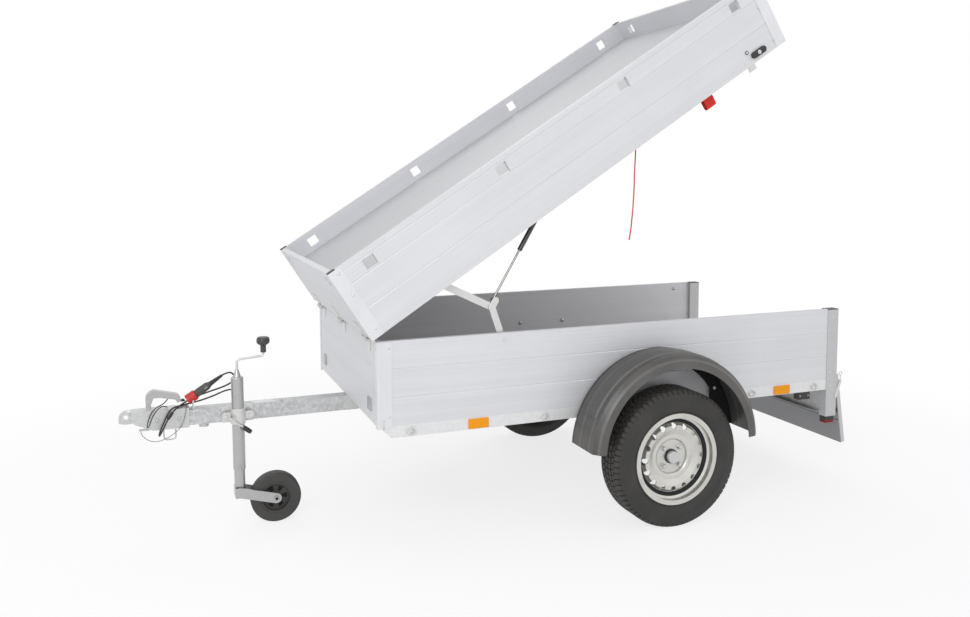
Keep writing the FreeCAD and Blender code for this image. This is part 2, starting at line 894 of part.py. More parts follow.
def trailing_arms():
    """Swing arms from the beam's ends down and back to the stub axles."""
    head = numbers(ahead("axle_ahead"), f"{BAR_LOW} - axle_side / 2")
    foot = numbers(ahead("0"), HUB_Z)
    inner = "(box_width / 2 - axle_inset)"
    outer = f"({inner} + arm_thickness)"
    plate = feature("arm_plate", plate_between(foot, head, *numbers("arm_foot", "arm_head", inner, outer)))
    tip = f"({WHEEL_PLANE} + disc_plane - dish_depth - rim_wall)"
    stub = rod_between("stub_axle", (ahead("0"), HUB_Z), outer, tip, "stub_radius")
    return pair("trailing_arms", fuse("left_arm", plate, stub))


def tyre(side):
    """Casing with rounded sidewalls and crown, open at the beads."""
    half = "(tyre_width / 2)"
    bead = f"({half} - rim_inset - rim_wall - seat_gap)"
    seat = "(flange_radius - rim_lip)"
    waist = "(flange_radius + sidewall_waist)"
    shoulder, shoulder_half = "(tyre_radius - tyre_shoulder)", f"({half} - shoulder_inset)"
    crown, crown_half = "tyre_radius", f"({half} - crown_inset)"
    outside = [
        (bead, "flange_radius + rim_wall", "sidewall_arc", 1),
        (f"{half} - sidewall_draft", waist),
        (shoulder_half, shoulder, "shoulder_arc", 1),
        (crown_half, crown),
    ]
    inside = [
        (f"{shoulder_half} - tyre_wall", f"{shoulder} - tyre_wall"),
        (f"{half} - tyre_wall", waist),
        (f"{bead} - tyre_wall", seat),
    ]
    points = [(bead, seat)] + outside
    points += [(f"-1 * ({crown_half})", crown, "shoulder_arc", 1), (f"-1 * ({shoulder_half})", shoulder)]
    points += [(f"-1 * ({half} - sidewall_draft)", waist, "sidewall_arc", 1)]
    points += [(f"-1 * ({bead})", "flange_radius + rim_wall"), (f"-1 * ({bead})", seat)]
    points += [(f"-1 * ({y})", r) for y, r in reversed(inside)] + inside
    return turned(f"{side}_tyre", points)


def wheel(side, sign):
    """Rim with its well, and a dished disc with a ring of vents."""
    half = "(tyre_width / 2 - rim_inset)"
    seat, well = "(flange_radius - rim_lip - rim_seat)", "(flange_radius - well_drop)"
    circle = f"({well} - vent_inset)"
    edge = f"({half} - well_offset)"
    outer = [(half, "flange_radius"), (f"{half} - rim_wall", "flange_radius"), (f"{half} - rim_wall", seat)]
    outer += [(edge, seat), (f"{edge} - well_slope", well)]
    inner = [(half, f"{seat} - rim_wall"), (edge, f"{seat} - rim_wall"), (f"{edge} - well_slope", f"{well} - rim_wall")]
    rim = outer + [(f"-1 * ({y})", r) for y, r in reversed(outer)]
    rim += [(f"-1 * ({y})", r) for y, r in inner] + list(reversed(inner))
    low, top = "disc_plane - dish_depth", f"{circle} + vent_land"
    land = f"{circle} - vent_radius - vent_land"
    disc = [
        (low, f"{well} - rim_wall / 2"), ("disc_plane", top), ("disc_plane", land),
        (low, "hub_seat"), (low, "centre_bore"), (f"{low} - rim_wall", "centre_bore"),
        (f"{low} - rim_wall", "hub_seat"), ("disc_plane - rim_wall", land), ("disc_plane - rim_wall", top),
        (f"{low} - rim_wall", f"{well} - rim_wall / 2"),
    ]
    shell = turned(f"{side}_rim_shell", [(f"{sign} * ({y})", r) for y, r in rim])
    web = turned(f"{side}_disc_shell", [(f"{sign} * ({y})", r) for y, r in disc])
    holes = drilled(f"{side}_vent", sign, circle, "vent_radius", "vent_count", "0")
    holes += drilled(f"{side}_stud_hole", sign, "stud_circle", "stud_radius + stud_play", "stud_count", "stud_turn")
    return cut(f"{side}_wheel", fuse(f"{side}_wheel_blank", shell, web), *holes)


def around(circle, index, count, first):
    """X and Z of one place on a bolt circle."""
    angle = f"({first} + {index} * 360 / {count})"
    return f"{circle} * cos({angle})", f"{circle} * sin({angle})"


def drilled(name, sign, circle, radius, count, first):
    """A ring of cutting rods through the wheel's disc."""
    low = f"{sign} * (disc_plane - dish_depth / 2) - dish_depth - overrun"
    return [
        rod_between(f"{name}_{index}", around(circle, index, count, first), low,
                    f"{low} + 2 * dish_depth + 2 * overrun", radius)
        for index in range(int(number(count)))
    ]


def hub(side, sign):
    """Hub with its barrel, bearing cap and wheel studs, bored for the stub axle."""
    seat = "disc_plane - dish_depth - rim_wall"
    bore = "stub_radius + running_fit"
    points = [
        (f"{seat} - hub_inboard", bore), (f"{seat} - hub_inboard", "hub_barrel"),
        (f"{seat} - hub_flange", "hub_barrel"), (f"{seat} - hub_flange", "hub_radius"),
        (seat, "hub_radius"), (seat, "hub_cap"), (f"{seat} + hub_cap_length", "hub_cap"),
        (f"{seat} + hub_cap_length", "0"), (f"{seat} + stud_play", "0"), (f"{seat} + stud_play", bore),
    ]
    barrel = turned(f"{side}_hub_barrel", [(f"{sign} * ({y})", r) for y, r in points])
    low, high = (seat, f"{seat} + stud_length") if sign > 0 else (f"-1 * ({seat}) - stud_length", f"-1 * ({seat})")
    studs = [
        rod_between(f"{side}_stud_{index}", around("stud_circle", index, "stud_count", "stud_turn"), low, high,
                    "stud_radius")
        for index in range(int(number("stud_count")))
    ]
    return fuse(f"{side}_hub", barrel, *studs)


# Mudguards

def swept_ring(profile, sweep):
    """A profile of Y and radius revolved about the Y axis, its middle straight up."""
    spots = [FreeCAD.Vector(0, y, r) for y, r in profile]
    face = Part.Face(Part.makePolygon(spots + spots[:1]))
    face.rotate(FreeCAD.Vector(), ALONG_Y, -sweep / 2)
    return face.revolve(FreeCAD.Vector(), ALONG_Y, sweep)


def mudguards():
    """Moulded arch with a raised band, an outer skirt and inner gusset webs, on spacers off the wall."""
    outer, inner_y = numbers("tyre_radius + guard_clearance", f"{FACE} + guard_stand")
    wall, shoulder, sweep = numbers("guard_wall", "guard_shoulder", "guard_sweep")
    outer_y = inner_y + number("guard_width")
    skirt, flange = outer - number("guard_skirt"), outer - number("guard_flange")
    profile = [
        (inner_y, flange), (inner_y, outer), (outer_y - shoulder, outer), (outer_y, outer - shoulder),
        (outer_y, skirt), (outer_y - wall, skirt), (outer_y - wall, outer - shoulder - wall / 2),
        (outer_y - shoulder - wall / 2, outer - wall), (inner_y + wall, outer - wall), (inner_y + wall, flange),
    ]
    low, high = inner_y + number("guard_band_in"), outer_y - number("guard_band_out")
    rise, slope, band_sweep = numbers("guard_band_rise", "guard_band_slope", "guard_band_sweep")
    band = [(low, outer - wall), (low, outer), (low + slope, outer + rise), (high - slope, outer + rise),
            (high, outer), (high, outer - wall)]
    inset = outer - number("guard_web")
    webs = [gusset(sign, flange + wall, inset, sweep, inner_y, wall) for sign in (1, -1)]
    shape = swept_ring(profile, sweep).fuse([swept_ring(band, band_sweep)] + webs).removeSplitter()
    level = above("tyre_radius + guard_lift")
    shape.translate(FreeCAD.Vector(number(ahead("guard_ahead")), 0, number(level)))
    guard = feature("guard_arch", shape)
    circle = "(tyre_radius + guard_clearance - guard_bolt_inset)"
    spacers = []
    for label, angle in (("high", "guard_bolt_high"), ("low", "guard_bolt_low")):
        for end, sign in (("front", 1), ("rear", -1)):
            place = (f"{ahead('guard_ahead')} + {sign} * {circle} * sin({angle})", f"{level} + {circle} * cos({angle})")
            spacers.append(rod_between(f"guard_spacer_{label}_{end}", place, FACE, f"{FACE} + guard_stand",
                                       "spacer_radius"))
    return pair("mudguards", fuse("left_mudguard", guard, *spacers))


def gusset(sign, radius, inset, sweep, y, wall):
    """Flat web that closes a mudguard's lower corner, between its arc and a vertical edge."""
    low = math.radians(90 - sweep / 2)
    high = math.acos(inset / radius)
    drop = radius * math.sin(low)

    def spot(angle):
        return FreeCAD.Vector(sign * radius * math.cos(angle), y, radius * math.sin(angle))

    corner = FreeCAD.Vector(sign * inset, y, drop)
    edges = [Part.Arc(spot(low), spot((low + high) / 2), spot(high)), Part.LineSegment(spot(high), corner),
             Part.LineSegment(corner, spot(low))]
    return Part.Face(Part.Wire([edge.toShape() for edge in edges])).extrude(ALONG_Y * wall)


# Coupling

HEAD_HALF = "(bar_side / 2 + head_cheek)"
HEAD_TOP = "(bar_rise + head_rise)"
HEAD_LOW = "(bar_rise - bar_side - head_wall)"


def coupling_head():
    """Pressed head: a channel over the drawbar, a tapering neck, a domed cup and a small hook below."""
    shell = block("head_channel", ("-1 * head_back", "-1 * head_neck"), (f"-1 * {HEAD_HALF}", HEAD_HALF),
                  (HEAD_LOW, HEAD_TOP))
    cup = ball("head_dome", ("0", "0", "0"), "ball_radius + head_wall")
    bar = block("head_bar_seat", ("-1 * head_back - overrun", "-1 * bar_nose + overrun"),
                ("-1 * bar_side / 2", "bar_side / 2"), (BAR_LOW, BASE))
    inside = "(bar_side / 2 - head_wall)"
    bay = block("head_bay", ("-1 * bar_nose", "-1 * ball_radius - 2 * head_wall"), (f"-1 * {inside}", inside),
                (f"{HEAD_LOW} - overrun", f"{HEAD_TOP} - head_wall"))
    socket = fuse("head_socket", ball("socket_ball", ("0", "0", "0"), "ball_radius"),
                  rod("socket_mouth", ("0", "0", "-1 * head_skirt - overrun"), "ball_radius",
                      "head_skirt + overrun + socket_land"))
    below = rod("below_skirt", ("0", "0", f"{HEAD_LOW} - overrun"), "ball_radius + head_wall + overrun",
                f"-1 * head_skirt - {HEAD_LOW} + overrun")
    skirt = rod("head_skirt_ring", ("0", "0", "-1 * head_skirt"), "ball_radius + head_wall", "head_skirt")
    pressed = cut("pressed_head", fuse("head_body", shell, head_neck(), cup, skirt), bar, bay, socket, below)
    return fuse("coupling_head", pressed, *head_hook())


def head_neck():
    """Neck lofted from the channel's section to the cup's waist."""
    sections = [
        numbers("-1 * head_neck", HEAD_HALF, HEAD_LOW, HEAD_TOP),
        numbers("-1 * ball_radius / 2", "ball_radius + head_wall / 2", "-1 * head_skirt", HEAD_TOP),
    ]
    wires = []
    for x, half, low, high in sections:
        spots = [FreeCAD.Vector(x, y, z) for y, z in ((-half, low), (half, low), (half, high), (-half, high))]
        wires.append(Part.makePolygon(spots + spots[:1]))
    return feature("head_neck_loft", Part.makeLoft(wires, True, True))


def head_hook():
    """A tie across the neck's open underside, with its stem and hooked plate."""
    back = "(-1 * hook_back + hook_width)"
    stem = (back, f"{back} + hook_web")
    return [
        block("hook_tie", stem, ("-1 * bar_side / 2", "bar_side / 2"), (BAR_LOW, f"{BAR_LOW} + 2 * hook_web")),
        block("hook_stem", stem, ("-1 * hook_width / 2", "hook_width / 2"), (HOOK_LOW, BAR_LOW)),
        block("hook_plate", ("-1 * hook_back", "-1 * hook_front"), ("-1 * hook_width / 2", "hook_width / 2"),
              (HOOK_LOW, f"{HOOK_LOW} + hook_thickness")),
    ]


def on_handle(along, up):
    """X and Z of a place at shares of the handle's reach and rise."""
    return f"(-1 * handle_back - handle_reach * {along})", f"({HEAD_TOP} + handle_rise * {up})"


def coupling_handle():
    """Arched lever over the neck, with two eyes and a small end pin."""
    points = [on_handle(*share) for share in HANDLE_SHARES]
    points[1] += ("handle_nose_arc", 1)
    points[3] += ("handle_tail_arc", 1)
    lever = panel("handle_lever", "XZ", points, "-1 * handle_width / 2", "handle_width / 2")
    eyes = [
        rod_between(f"handle_eye_{index}", on_handle(*share), "-1 * handle_width / 2 - overrun",
                    "handle_width / 2 + overrun", "handle_hole")
        for index, share in enumerate(HANDLE_EYES)
    ]
    _, level = on_handle(*HANDLE_SHARES[4])
    tip = rod("handle_tip", ("-1 * handle_back - handle_reach - handle_tip_length", "0",
                             f"{level} - handle_tip_radius / 2"),
              "handle_tip_radius", "handle_tip_length + 2 * handle_tip_radius", "x")
    return fuse("coupling_handle", cut("handle_pierced", lever, *eyes), tip)


def plug_axis():
    """The plug's nose and the direction it points back and up."""
    slope = math.radians(number("plug_slope"))
    nose = FreeCAD.Vector(*numbers("-1 * plug_nose_back", "plug_nose_side", "plug_nose_rise"))
    return nose, FreeCAD.Vector(-math.cos(slope), 0, math.sin(slope))


def trailer_plug():
    """Plug with its ring, body and tapering cable relief, parked on the drawbar."""
    start, way = plug_axis()
    ring, body, relief = numbers("plug_ring_length", "plug_body_length", "plug_relief_length")
    wide, middle, narrow = numbers("plug_ring_radius", "plug_body_radius", "plug_relief_radius")
    shape = Part.makeCylinder(wide, ring, start, way).fuse([
        Part.makeCylinder(middle, body, start + way * ring, way),
        Part.makeCone(narrow, number("cable_radius + relief_wall"), relief, start + way * (ring + body), way),
    ])
    return feature("trailer_plug", shape.removeSplitter())


def plug_saddle():
    """Upright plate on the bar, hollowed for the parked plug's ring."""
    start, way = plug_axis()
    low = numbers("-1 * plug_nose_back - saddle_back", "plug_nose_side - saddle_width / 2", BASE)
    plate = Part.makeBox(*numbers("saddle_thickness", "saddle_width", "saddle_height"), FreeCAD.Vector(*low))
    reach = number("plug_ring_length")
    ring = Part.makeCylinder(number("plug_ring_radius + seat_gap"), reach, start, way)
    return feature("plug_saddle", plate.cut(ring))


def drawbar_fittings():
    """Coupling bolts, wire bail, plug saddle, the box's brackets and the stub under the bar."""
    fittings = []
    for index, back in enumerate(("bolt_front_back", "bolt_rear_back")):
        place = (f"-1 * {back}", f"({BASE} - bar_side / 2)")
        fittings.append(rod_between(f"coupling_bolt_left_{index}", place, HEAD_HALF,
                                    f"{HEAD_HALF} + coupling_bolt_head", "coupling_bolt"))
        fittings.append(mirrored(f"coupling_bolt_right_{index}", fittings[-1]))
        fittings.append(rod(f"coupling_nut_{index}", (place[0], "0", f"{HEAD_LOW} - coupling_bolt_head"),
                            "coupling_bolt", "coupling_bolt_head"))
    front, rear, drop, top = numbers("-1 * bail_front", "-1 * bail_rear", "-1 * bail_drop", HEAD_LOW)
    bail = [(front, 0, top), (front, 0, drop), (rear, 0, drop), (rear, 0, top)]
    fittings.append(feature("wire_bail", pipe_shape(bail, *numbers("bail_wire", "bail_bend"))[0]))
    fittings.append(rod("bar_stub", ("-1 * bar_stub_back", "0", f"{BAR_LOW} - bar_stub_height"),
                        "bar_stub_radius", "bar_stub_height"))
    bracket = block("box_bracket", (f"{FRONT} - bracket_length", FRONT), ("bar_side / 2", "bar_side / 2 + bracket_wall"),
                    (BAR_LOW, BASE))
    return group("drawbar_fittings", *fittings, bracket, mirrored("box_bracket_right", bracket), plug_saddle())


# Jockey wheel

JOCKEY = ("(-1 * jockey_back)", "(bar_side / 2 + jockey_gap + jockey_tube_radius)")
TUBE_TOP = "(bar_rise + jockey_tube_rise)"
TUBE_FOOT = "(bar_rise + jockey_tube_rise - jockey_tube_length)"
LEG_TOP = "(bar_rise + jockey_tube_rise - jockey_leg_inside)"
LEG_FOOT = above("jockey_wheel_radius + jockey_leg_lift")
JOCKEY_AXLE = (f"({JOCKEY[0]} - jockey_trail)", above("jockey_wheel_radius"))
CRANK_LOW = f"({TUBE_TOP} + crank_bush_height)"
CRANK_END = f"({CRANK_LOW} + crank_rise + crank_climb + crank_stub)"


def jockey_tube():
    """Outer tube with a rounded shoulder and tapering bush, slotted at its foot."""
    tube = "jockey_tube_radius"
    tip = "crank_radius + crank_shoulder"
    body = turned("jockey_tube_blank", [
        (f"{tube} - jockey_tube_wall", TUBE_FOOT), (tube, TUBE_FOOT),
        (tube, f"{TUBE_TOP} - jockey_tube_round", "jockey_tube_round", 1), (f"{tube} - jockey_tube_round", TUBE_TOP),
        ("crank_bush", TUBE_TOP), (tip, CRANK_LOW), ("0", CRANK_LOW), ("0", f"{TUBE_TOP} - jockey_tube_wall"),
        (f"{tube} - jockey_tube_wall", f"{TUBE_TOP} - jockey_tube_wall - jockey_tube_round"),
    ], "XZ", "V_Axis")
    x, y = JOCKEY
    side = (y, f"{y} + {tube} + overrun")
    arch = f"({TUBE_FOOT} + jockey_slot_height - jockey_slot_width / 2)"
    slot = block("tube_slot", (f"{x} - jockey_slot_width / 2", f"{x} + jockey_slot_width / 2"), side,
                 (f"{TUBE_FOOT} - overrun", arch))
    crown = rod_between("tube_slot_crown", (x, arch), *side, "jockey_slot_width / 2")
    return cut("jockey_tube", move(body, x, y), fuse("tube_slot_tool", slot, crown))


def jockey_clamp():
    """Base plate on the drawbar's side, band round the tube with its ears and bolts, and the lever."""
    x, y = JOCKEY
    low, side = f"({BASE} - clamp_height)", "bar_side / 2"
    level = f"({BASE} - clamp_height / 2)"
    plate = block("clamp_plate", (f"{x} - clamp_length / 2", f"{x} + clamp_length / 2"),
                  (side, f"{side} + clamp_plate"), (low, BASE))
    band = rod("clamp_band", (x, y, low), "jockey_tube_radius + clamp_jaw / 2", "clamp_height")
    web = block("clamp_web", (f"{x} - jockey_tube_radius", f"{x} + jockey_tube_radius"), (side, y), (low, BASE))
    ends = [numbers(f"{x} + ({place})", level) for place in ("clamp_bolt_half", "-1 * clamp_bolt_half")]
    ear, near, far = numbers("clamp_ear", f"{y} - clamp_jaw / 2", f"{y} + clamp_jaw / 2")
    ears = feature("clamp_ears", plate_between(*ends, ear, ear, near, far))
    bolts = [
        rod_between(f"clamp_bolt_{index}", (f"{x} + ({place})", level), side, f"{y} + clamp_jaw + clamp_bolt",
                    "clamp_bolt")
        for index, place in enumerate(("clamp_bolt_half", "-1 * clamp_bolt_half"))
    ]
    hole = rod("clamp_hole", (x, y, f"{low} - overrun"), "jockey_tube_radius + running_fit",
               "clamp_height + 2 * overrun")
    bar = block("clamp_bar_side", (f"{x} - clamp_length", f"{x} + clamp_length"), ("-1 * bar_side", side),
                (f"{low} - overrun", f"{BASE} + overrun"))
    bored = cut("clamp_bored", fuse("clamp_blank", plate, band, web, ears, *bolts), hole, bar)
    return fuse("jockey_clamp", bored, *clamp_lever())


def clamp_lever():
    """The clamp's spindle, its lever and the thicker grip on the lever's end."""
    x, y = JOCKEY
    start = FreeCAD.Vector(*numbers(f"{x} + lever_ahead", f"{y} + lever_stand", f"{BASE} - lever_drop"))
    run = FreeCAD.Vector(*numbers("-1 * lever_reach", "0", "-1 * lever_fall"))
    radius, length, grip = numbers("lever_radius", "grip_length", "grip_radius")
    arm = Part.makeCylinder(radius, run.Length + length / 2, start, run)
    handle = Part.makeCylinder(grip, length, start + run, run)
    spindle = rod_between("clamp_spindle", (f"{x} + lever_ahead", f"{BASE} - lever_drop"), y,
                          f"{y} + lever_stand + 2 * lever_radius", "lever_radius + crank_shoulder")
    return [feature("lever_arm", arm.fuse(handle)), spindle]


def jockey_crank():
    """Crank rod from the bush up, back and up into its knob."""
    x, y, low, rise, throw, climb = numbers(*JOCKEY, CRANK_LOW, "crank_rise", "crank_throw", "crank_climb")
    top = number(CRANK_END)
    points = [(x, y, low), (x, y, low + rise), (x - throw, y, low + rise + climb), (x - throw, y, top)]
    return feature("jockey_crank", pipe_shape(points, *numbers("crank_radius", "crank_bend"))[0])


def crank_knob():
    """Mushroom knob turned about its own stem."""
    points = [(f"knob_radius * {wide}", f"knob_height * {high}") for wide, high in KNOB_SHARES]
    x, y = JOCKEY
    return move(turned("crank_knob", points, "XZ", "V_Axis"), f"{x} - crank_throw", y, CRANK_END)


def jockey_leg():
    """Inner tube with the trailing fork at its foot."""
    x, y = JOCKEY
    shell = rod("leg_shell", (x, y, LEG_FOOT), "jockey_leg_radius", f"{LEG_TOP} - {LEG_FOOT}")
    bore = rod("leg_bore", (x, y, f"{LEG_FOOT} - overrun"), "jockey_leg_radius - jockey_leg_wall",
               f"{LEG_TOP} - {LEG_FOOT} + 2 * overrun")
    inside, outside = "(jockey_wheel_half + fork_gap)", "(jockey_wheel_half + fork_gap + fork_thickness)"
    nose, top = f"({x} + jockey_leg_radius)", f"({LEG_FOOT} + fork_height)"
    foot, head = numbers(*JOCKEY_AXLE), numbers(x, f"{LEG_FOOT} + fork_height / 2")
    arms = []
    for label, low, high in (("left", f"{y} + {inside}", f"{y} + {outside}"),
                             ("right", f"{y} - {outside}", f"{y} - {inside}")):
        round_end = number("fork_height / 2")
        arms.append(feature(f"fork_arm_{label}", plate_between(foot, head, round_end, round_end, *numbers(low, high))))
        arms.append(block(f"fork_cheek_{label}", (x, nose), (low, high), (LEG_FOOT, top)))
    bow = block("fork_bow", (f"{nose} - fork_thickness", nose), (f"{y} - {outside}", f"{y} + {outside}"),
                (LEG_FOOT, top))
    pin = rod_between("fork_pin", JOCKEY_AXLE, f"{y} - {outside} - fork_pin_head", f"{y} + {outside} + fork_pin_head",
                      "jockey_axle_radius")
    return fuse("jockey_leg", cut("leg_tube", shell, bore), *arms, bow, pin)


def jockey_nut():
    """Nut that the crank's spindle drives, in the head of the inner tube."""
    x, y = JOCKEY
    low = f"({LEG_TOP} - nut_height)"
    body = rod("nut_body", (x, y, low), "jockey_leg_radius - jockey_leg_wall - seat_gap", "nut_height")
    hole = rod("nut_hole", (x, y, f"{low} - overrun"), "crank_radius", "nut_height + 2 * overrun")
    return cut("jockey_nut", body, hole)


def jockey_windows():
    """Tools for the openings round the jockey wheel's web."""
    inner, outer, turn, count, web = numbers("jockey_window_in", "jockey_window_out", "jockey_window_turn",
                                             "jockey_window_count", "jockey_web + overrun")
    tools = []
    for index in range(int(count)):
        middle = 2 * math.pi * index / count
        low, high = middle - math.radians(turn) / 2, middle + math.radians(turn) / 2
        spots = [FreeCAD.Vector(radius * math.cos(angle), -web, radius * math.sin(angle))
                 for radius, angle in ((inner, low), (outer, low), (outer, high), (inner, high))]
        tools.append(feature(f"jockey_window_{index}",
                             Part.Face(Part.makePolygon(spots + spots[:1])).extrude(ALONG_Y * 2 * web)))
    return tools


def jockey_wheel():
    """Moulded hub with its windows and a solid tyre, bored for the fork's pin."""
    centre = (JOCKEY_AXLE[0], JOCKEY[1], JOCKEY_AXLE[1])
    half, bed = "jockey_wheel_half", "(jockey_wheel_half - jockey_step)"
    rim = "(jockey_hub_radius - jockey_rim)"
    bore = "jockey_axle_radius + running_fit"
    right = [(half, bore), (half, "jockey_boss"), ("jockey_web", "jockey_boss"), ("jockey_web", rim), (bed, rim),
             (bed, "jockey_hub_radius")]
    blank = turned("jockey_hub_blank", right + [(f"-1 * {y}", r) for y, r in reversed(right)])
    shoulder, crown = "jockey_wheel_radius - jockey_round", "jockey_wheel_radius"
    tread = turned("jockey_tyre", [
        (bed, "jockey_hub_radius"), (half, "jockey_hub_radius + jockey_step"),
        (half, shoulder, "jockey_round", 1), (f"{half} - jockey_round", crown),
        (f"jockey_round - {half}", crown, "jockey_round", 1), (f"-1 * {half}", shoulder),
        (f"-1 * {half}", "jockey_hub_radius + jockey_step"), (f"-1 * {bed}", "jockey_hub_radius"),
    ])
    return [move(cut("jockey_hub", blank, *jockey_windows()), *centre), move(tread, *centre)]


# Lid, drawn closed and then swung open about its hinge line

def opened(item):
    return swung(item, PIN_X, PIN_Z, "lid_open")


def lid_side_walls():
    """Walls with an inward bottom flange, grooved planks and a row of slots."""
    flange = f"({LID_INNER} - lid_flange)"
    section = grooved(LID_FACE, flange, LID_Z, ["lid_groove_low", "lid_groove_mid", "lid_groove_high"], LID_TOP)
    section[-1:] = [(LID_INNER, LID_TOP), (LID_INNER, f"{LID_Z} + lid_flange_height"),
                    (flange, f"{LID_Z} + lid_flange_height")]
    wall = panel("lid_side_blank", "YZ", section, f"{LID_REAR} + trim_thickness", f"{LID_X} - trim_thickness")
    ends = (("front", f"{LID_X} - trim_thickness - lid_wall", LID_X),
            ("rear", LID_REAR, f"{LID_REAR} + trim_thickness + lid_wall"))
    slots = [
        block(f"flange_end_{label}", (low, high), (f"{flange} - overrun", LID_INNER),
              (f"{LID_Z} - overrun", f"{LID_Z} + lid_flange_height + overrun"))
        for label, low, high in ends
    ]
    spacing = f"(({LID_X} - {LID_REAR} - 2 * slot_inset) / (slot_count - 1))"
    for index in range(int(number("slot_count"))):
        middle = f"({LID_X} - slot_inset - {index} * {spacing})"
        slots.append(block(f"side_slot_{index}", (f"{middle} - slot_length / 2", f"{middle} + slot_length / 2"),
                           (f"{LID_INNER} - overrun", f"{LID_FACE} + overrun"),
                           (f"{LID_Z} + slot_level", f"{LID_Z} + slot_level + slot_height")))
    return opened(pair("lid_side_walls", cut("lid_left_wall", wall, *slots)))


def lid_end_walls():
    """Front and rear walls between the side walls, each with two slots."""
    walls = []
    for label, low, high in (("front", f"({LID_X} - trim_thickness - lid_wall)", f"({LID_X} - trim_thickness)"),
                             ("rear", f"({LID_REAR} + trim_thickness)", f"({LID_REAR} + trim_thickness + lid_wall)")):
        wall = block(f"lid_{label}_blank", (low, high), (f"-1 * {LID_INNER}", LID_INNER), (LID_Z, LID_TOP))
        slots = [
            block(f"{label}_slot_{index}", (f"{low} - overrun", f"{high} + overrun"),
                  (f"{sign} * ({LID_HALF} - end_slot_inset) - slot_length / 2",
                   f"{sign} * ({LID_HALF} - end_slot_inset) + slot_length / 2"),
                  (f"{LID_Z} + slot_level", f"{LID_Z} + slot_level + slot_height"))
            for index, sign in enumerate((1, -1))
        ]
        walls.append(cut(f"lid_{label}_wall", wall, *slots))
    return opened(group("lid_end_walls", *walls))


def lid_roof():
    inset = "(trim_thickness + lid_wall)"
    level = f"({LID_Z} + lid_roof_level)"
    metal = block("lid_roof_sheet", (f"{LID_REAR} + {inset}", f"{LID_X} - {inset}"),
                  (f"-1 * {LID_INNER}", LID_INNER), (level, f"{level} + lid_roof"))
    return opened(group("lid_roof", metal))


def lid_corner(name, end, sign):
    """One corner's angle trim, at the end's X with its legs running the way of the sign, and the cap on it."""
    def inwards(length):
        return f"{end} + {sign} * {length}"

    leg = [(end, f"{LID_HALF} - trim_front"), (end, LID_HALF), (inwards("lid_trim"), LID_HALF),
           (inwards("lid_trim"), LID_FACE), (inwards("trim_thickness"), LID_FACE),
           (inwards("trim_thickness"), f"{LID_HALF} - trim_front")]
    trim = panel(f"lid_{name}_trim", "XY", leg, LID_Z, LID_TOP)
    ends = (inwards("lid_cap_length"), end) if sign < 0 else (end, inwards("lid_cap_length"))
    cap = block(f"lid_{name}_cap", ends, (f"{LID_HALF} - trim_front", LID_HALF), (LID_TOP, f"{LID_TOP} + cap_thickness"))
    return trim, cap


def lid_corners():
    """Angle trims round the lid's four corners, and their black caps."""
    corners = [lid_corner("front", LID_X, -1), lid_corner("rear", LID_REAR, 1)]
    trims, caps = zip(*corners)
    return [opened(pair("lid_corner_trims", group("lid_trims_left", *trims))),
            opened(pair("lid_trim_caps", group("lid_caps_left", *caps)))]


def lid_locks():
    """Turn handles near the lid's rear, their striker pads and the catches that hang from the lid."""
    level = f"({PIN_Z} + lock_level)"
    half, back = "(lock_length - lock_height) / 2", f"{PIN_X} - lock_back"
    ends = [numbers(f"{back} - {half}", level), numbers(f"{back} + {half}", level)]
    radius, low, high = numbers("lock_height / 2", LID_FACE, f"{LID_FACE} + lock_proud")
    handle = feature("lock_handle", plate_between(*ends, radius, radius, low, high))
    pad = rod_between("lock_pad", (f"{back} + lock_length * 2 / 3", f"{level} + lock_height"), LID_FACE,
                      f"{LID_FACE} + catch_thickness", "lock_pad / 2")
    catch_x = f"({back} + lock_height + catch_thickness)"
    catch = block("lid_catch", (catch_x, f"{catch_x} + catch_length"),
                  (f"{FACE} + catch_gap", f"{FACE} + catch_gap + catch_thickness"),
                  (f"{PIN_Z} - catch_drop", LID_Z))
    return opened(pair("lid_locks", group("lid_locks_left", handle, pad, catch)))


def lid_hand_strap():
    """Webbing loop under its anchor, inside the left wall."""
    front, rear = f"({PIN_X} - hand_strap_back)", f"({PIN_X} - hand_strap_back - hand_strap_length)"
    bend, thick = "(hand_strap_length / 2)", "hand_strap_thickness"
    middle, foot = f"({front} - {bend})", f"({LID_Z} - hand_strap_drop)"
    loop = [
        (rear, LID_Z), (rear, f"{foot} + {bend}", bend, 1), (middle, foot, bend, 1), (front, f"{foot} + {bend}"),
        (front, LID_Z), (f"{front} - {thick}", LID_Z),
        (f"{front} - {thick}", f"{foot} + {bend}", f"{bend} - {thick}", -1),
        (middle, f"{foot} + {thick}", f"{bend} - {thick}", -1),
        (f"{rear} + {thick}", f"{foot} + {bend}"), (f"{rear} + {thick}", LID_Z),
    ]
    side = f"({LID_INNER} - lid_flange - strap_anchor_reach)"
    return opened(group("lid_hand_strap", panel("hand_strap", "XZ", loop, side, f"{side} + hand_strap_width")))


def lid_anchors():
    """Tabs on the left flange that the hand strap and the pull cord hang from."""
    edge = f"({LID_INNER} - lid_flange)"
    strap = f"({PIN_X} - hand_strap_back)"
    string = f"({PIN_X} - cord_anchor_back)"
    height = (LID_Z, f"{LID_Z} + lid_flange_height")
    return [
        block("strap_anchor", (f"{strap} - hand_strap_length", strap), (f"{edge} - strap_anchor_reach", edge), height),
        block("cord_anchor", (f"{string} - cord_anchor_length", string), (f"{edge} - cord_anchor_reach", edge), height),
    ]


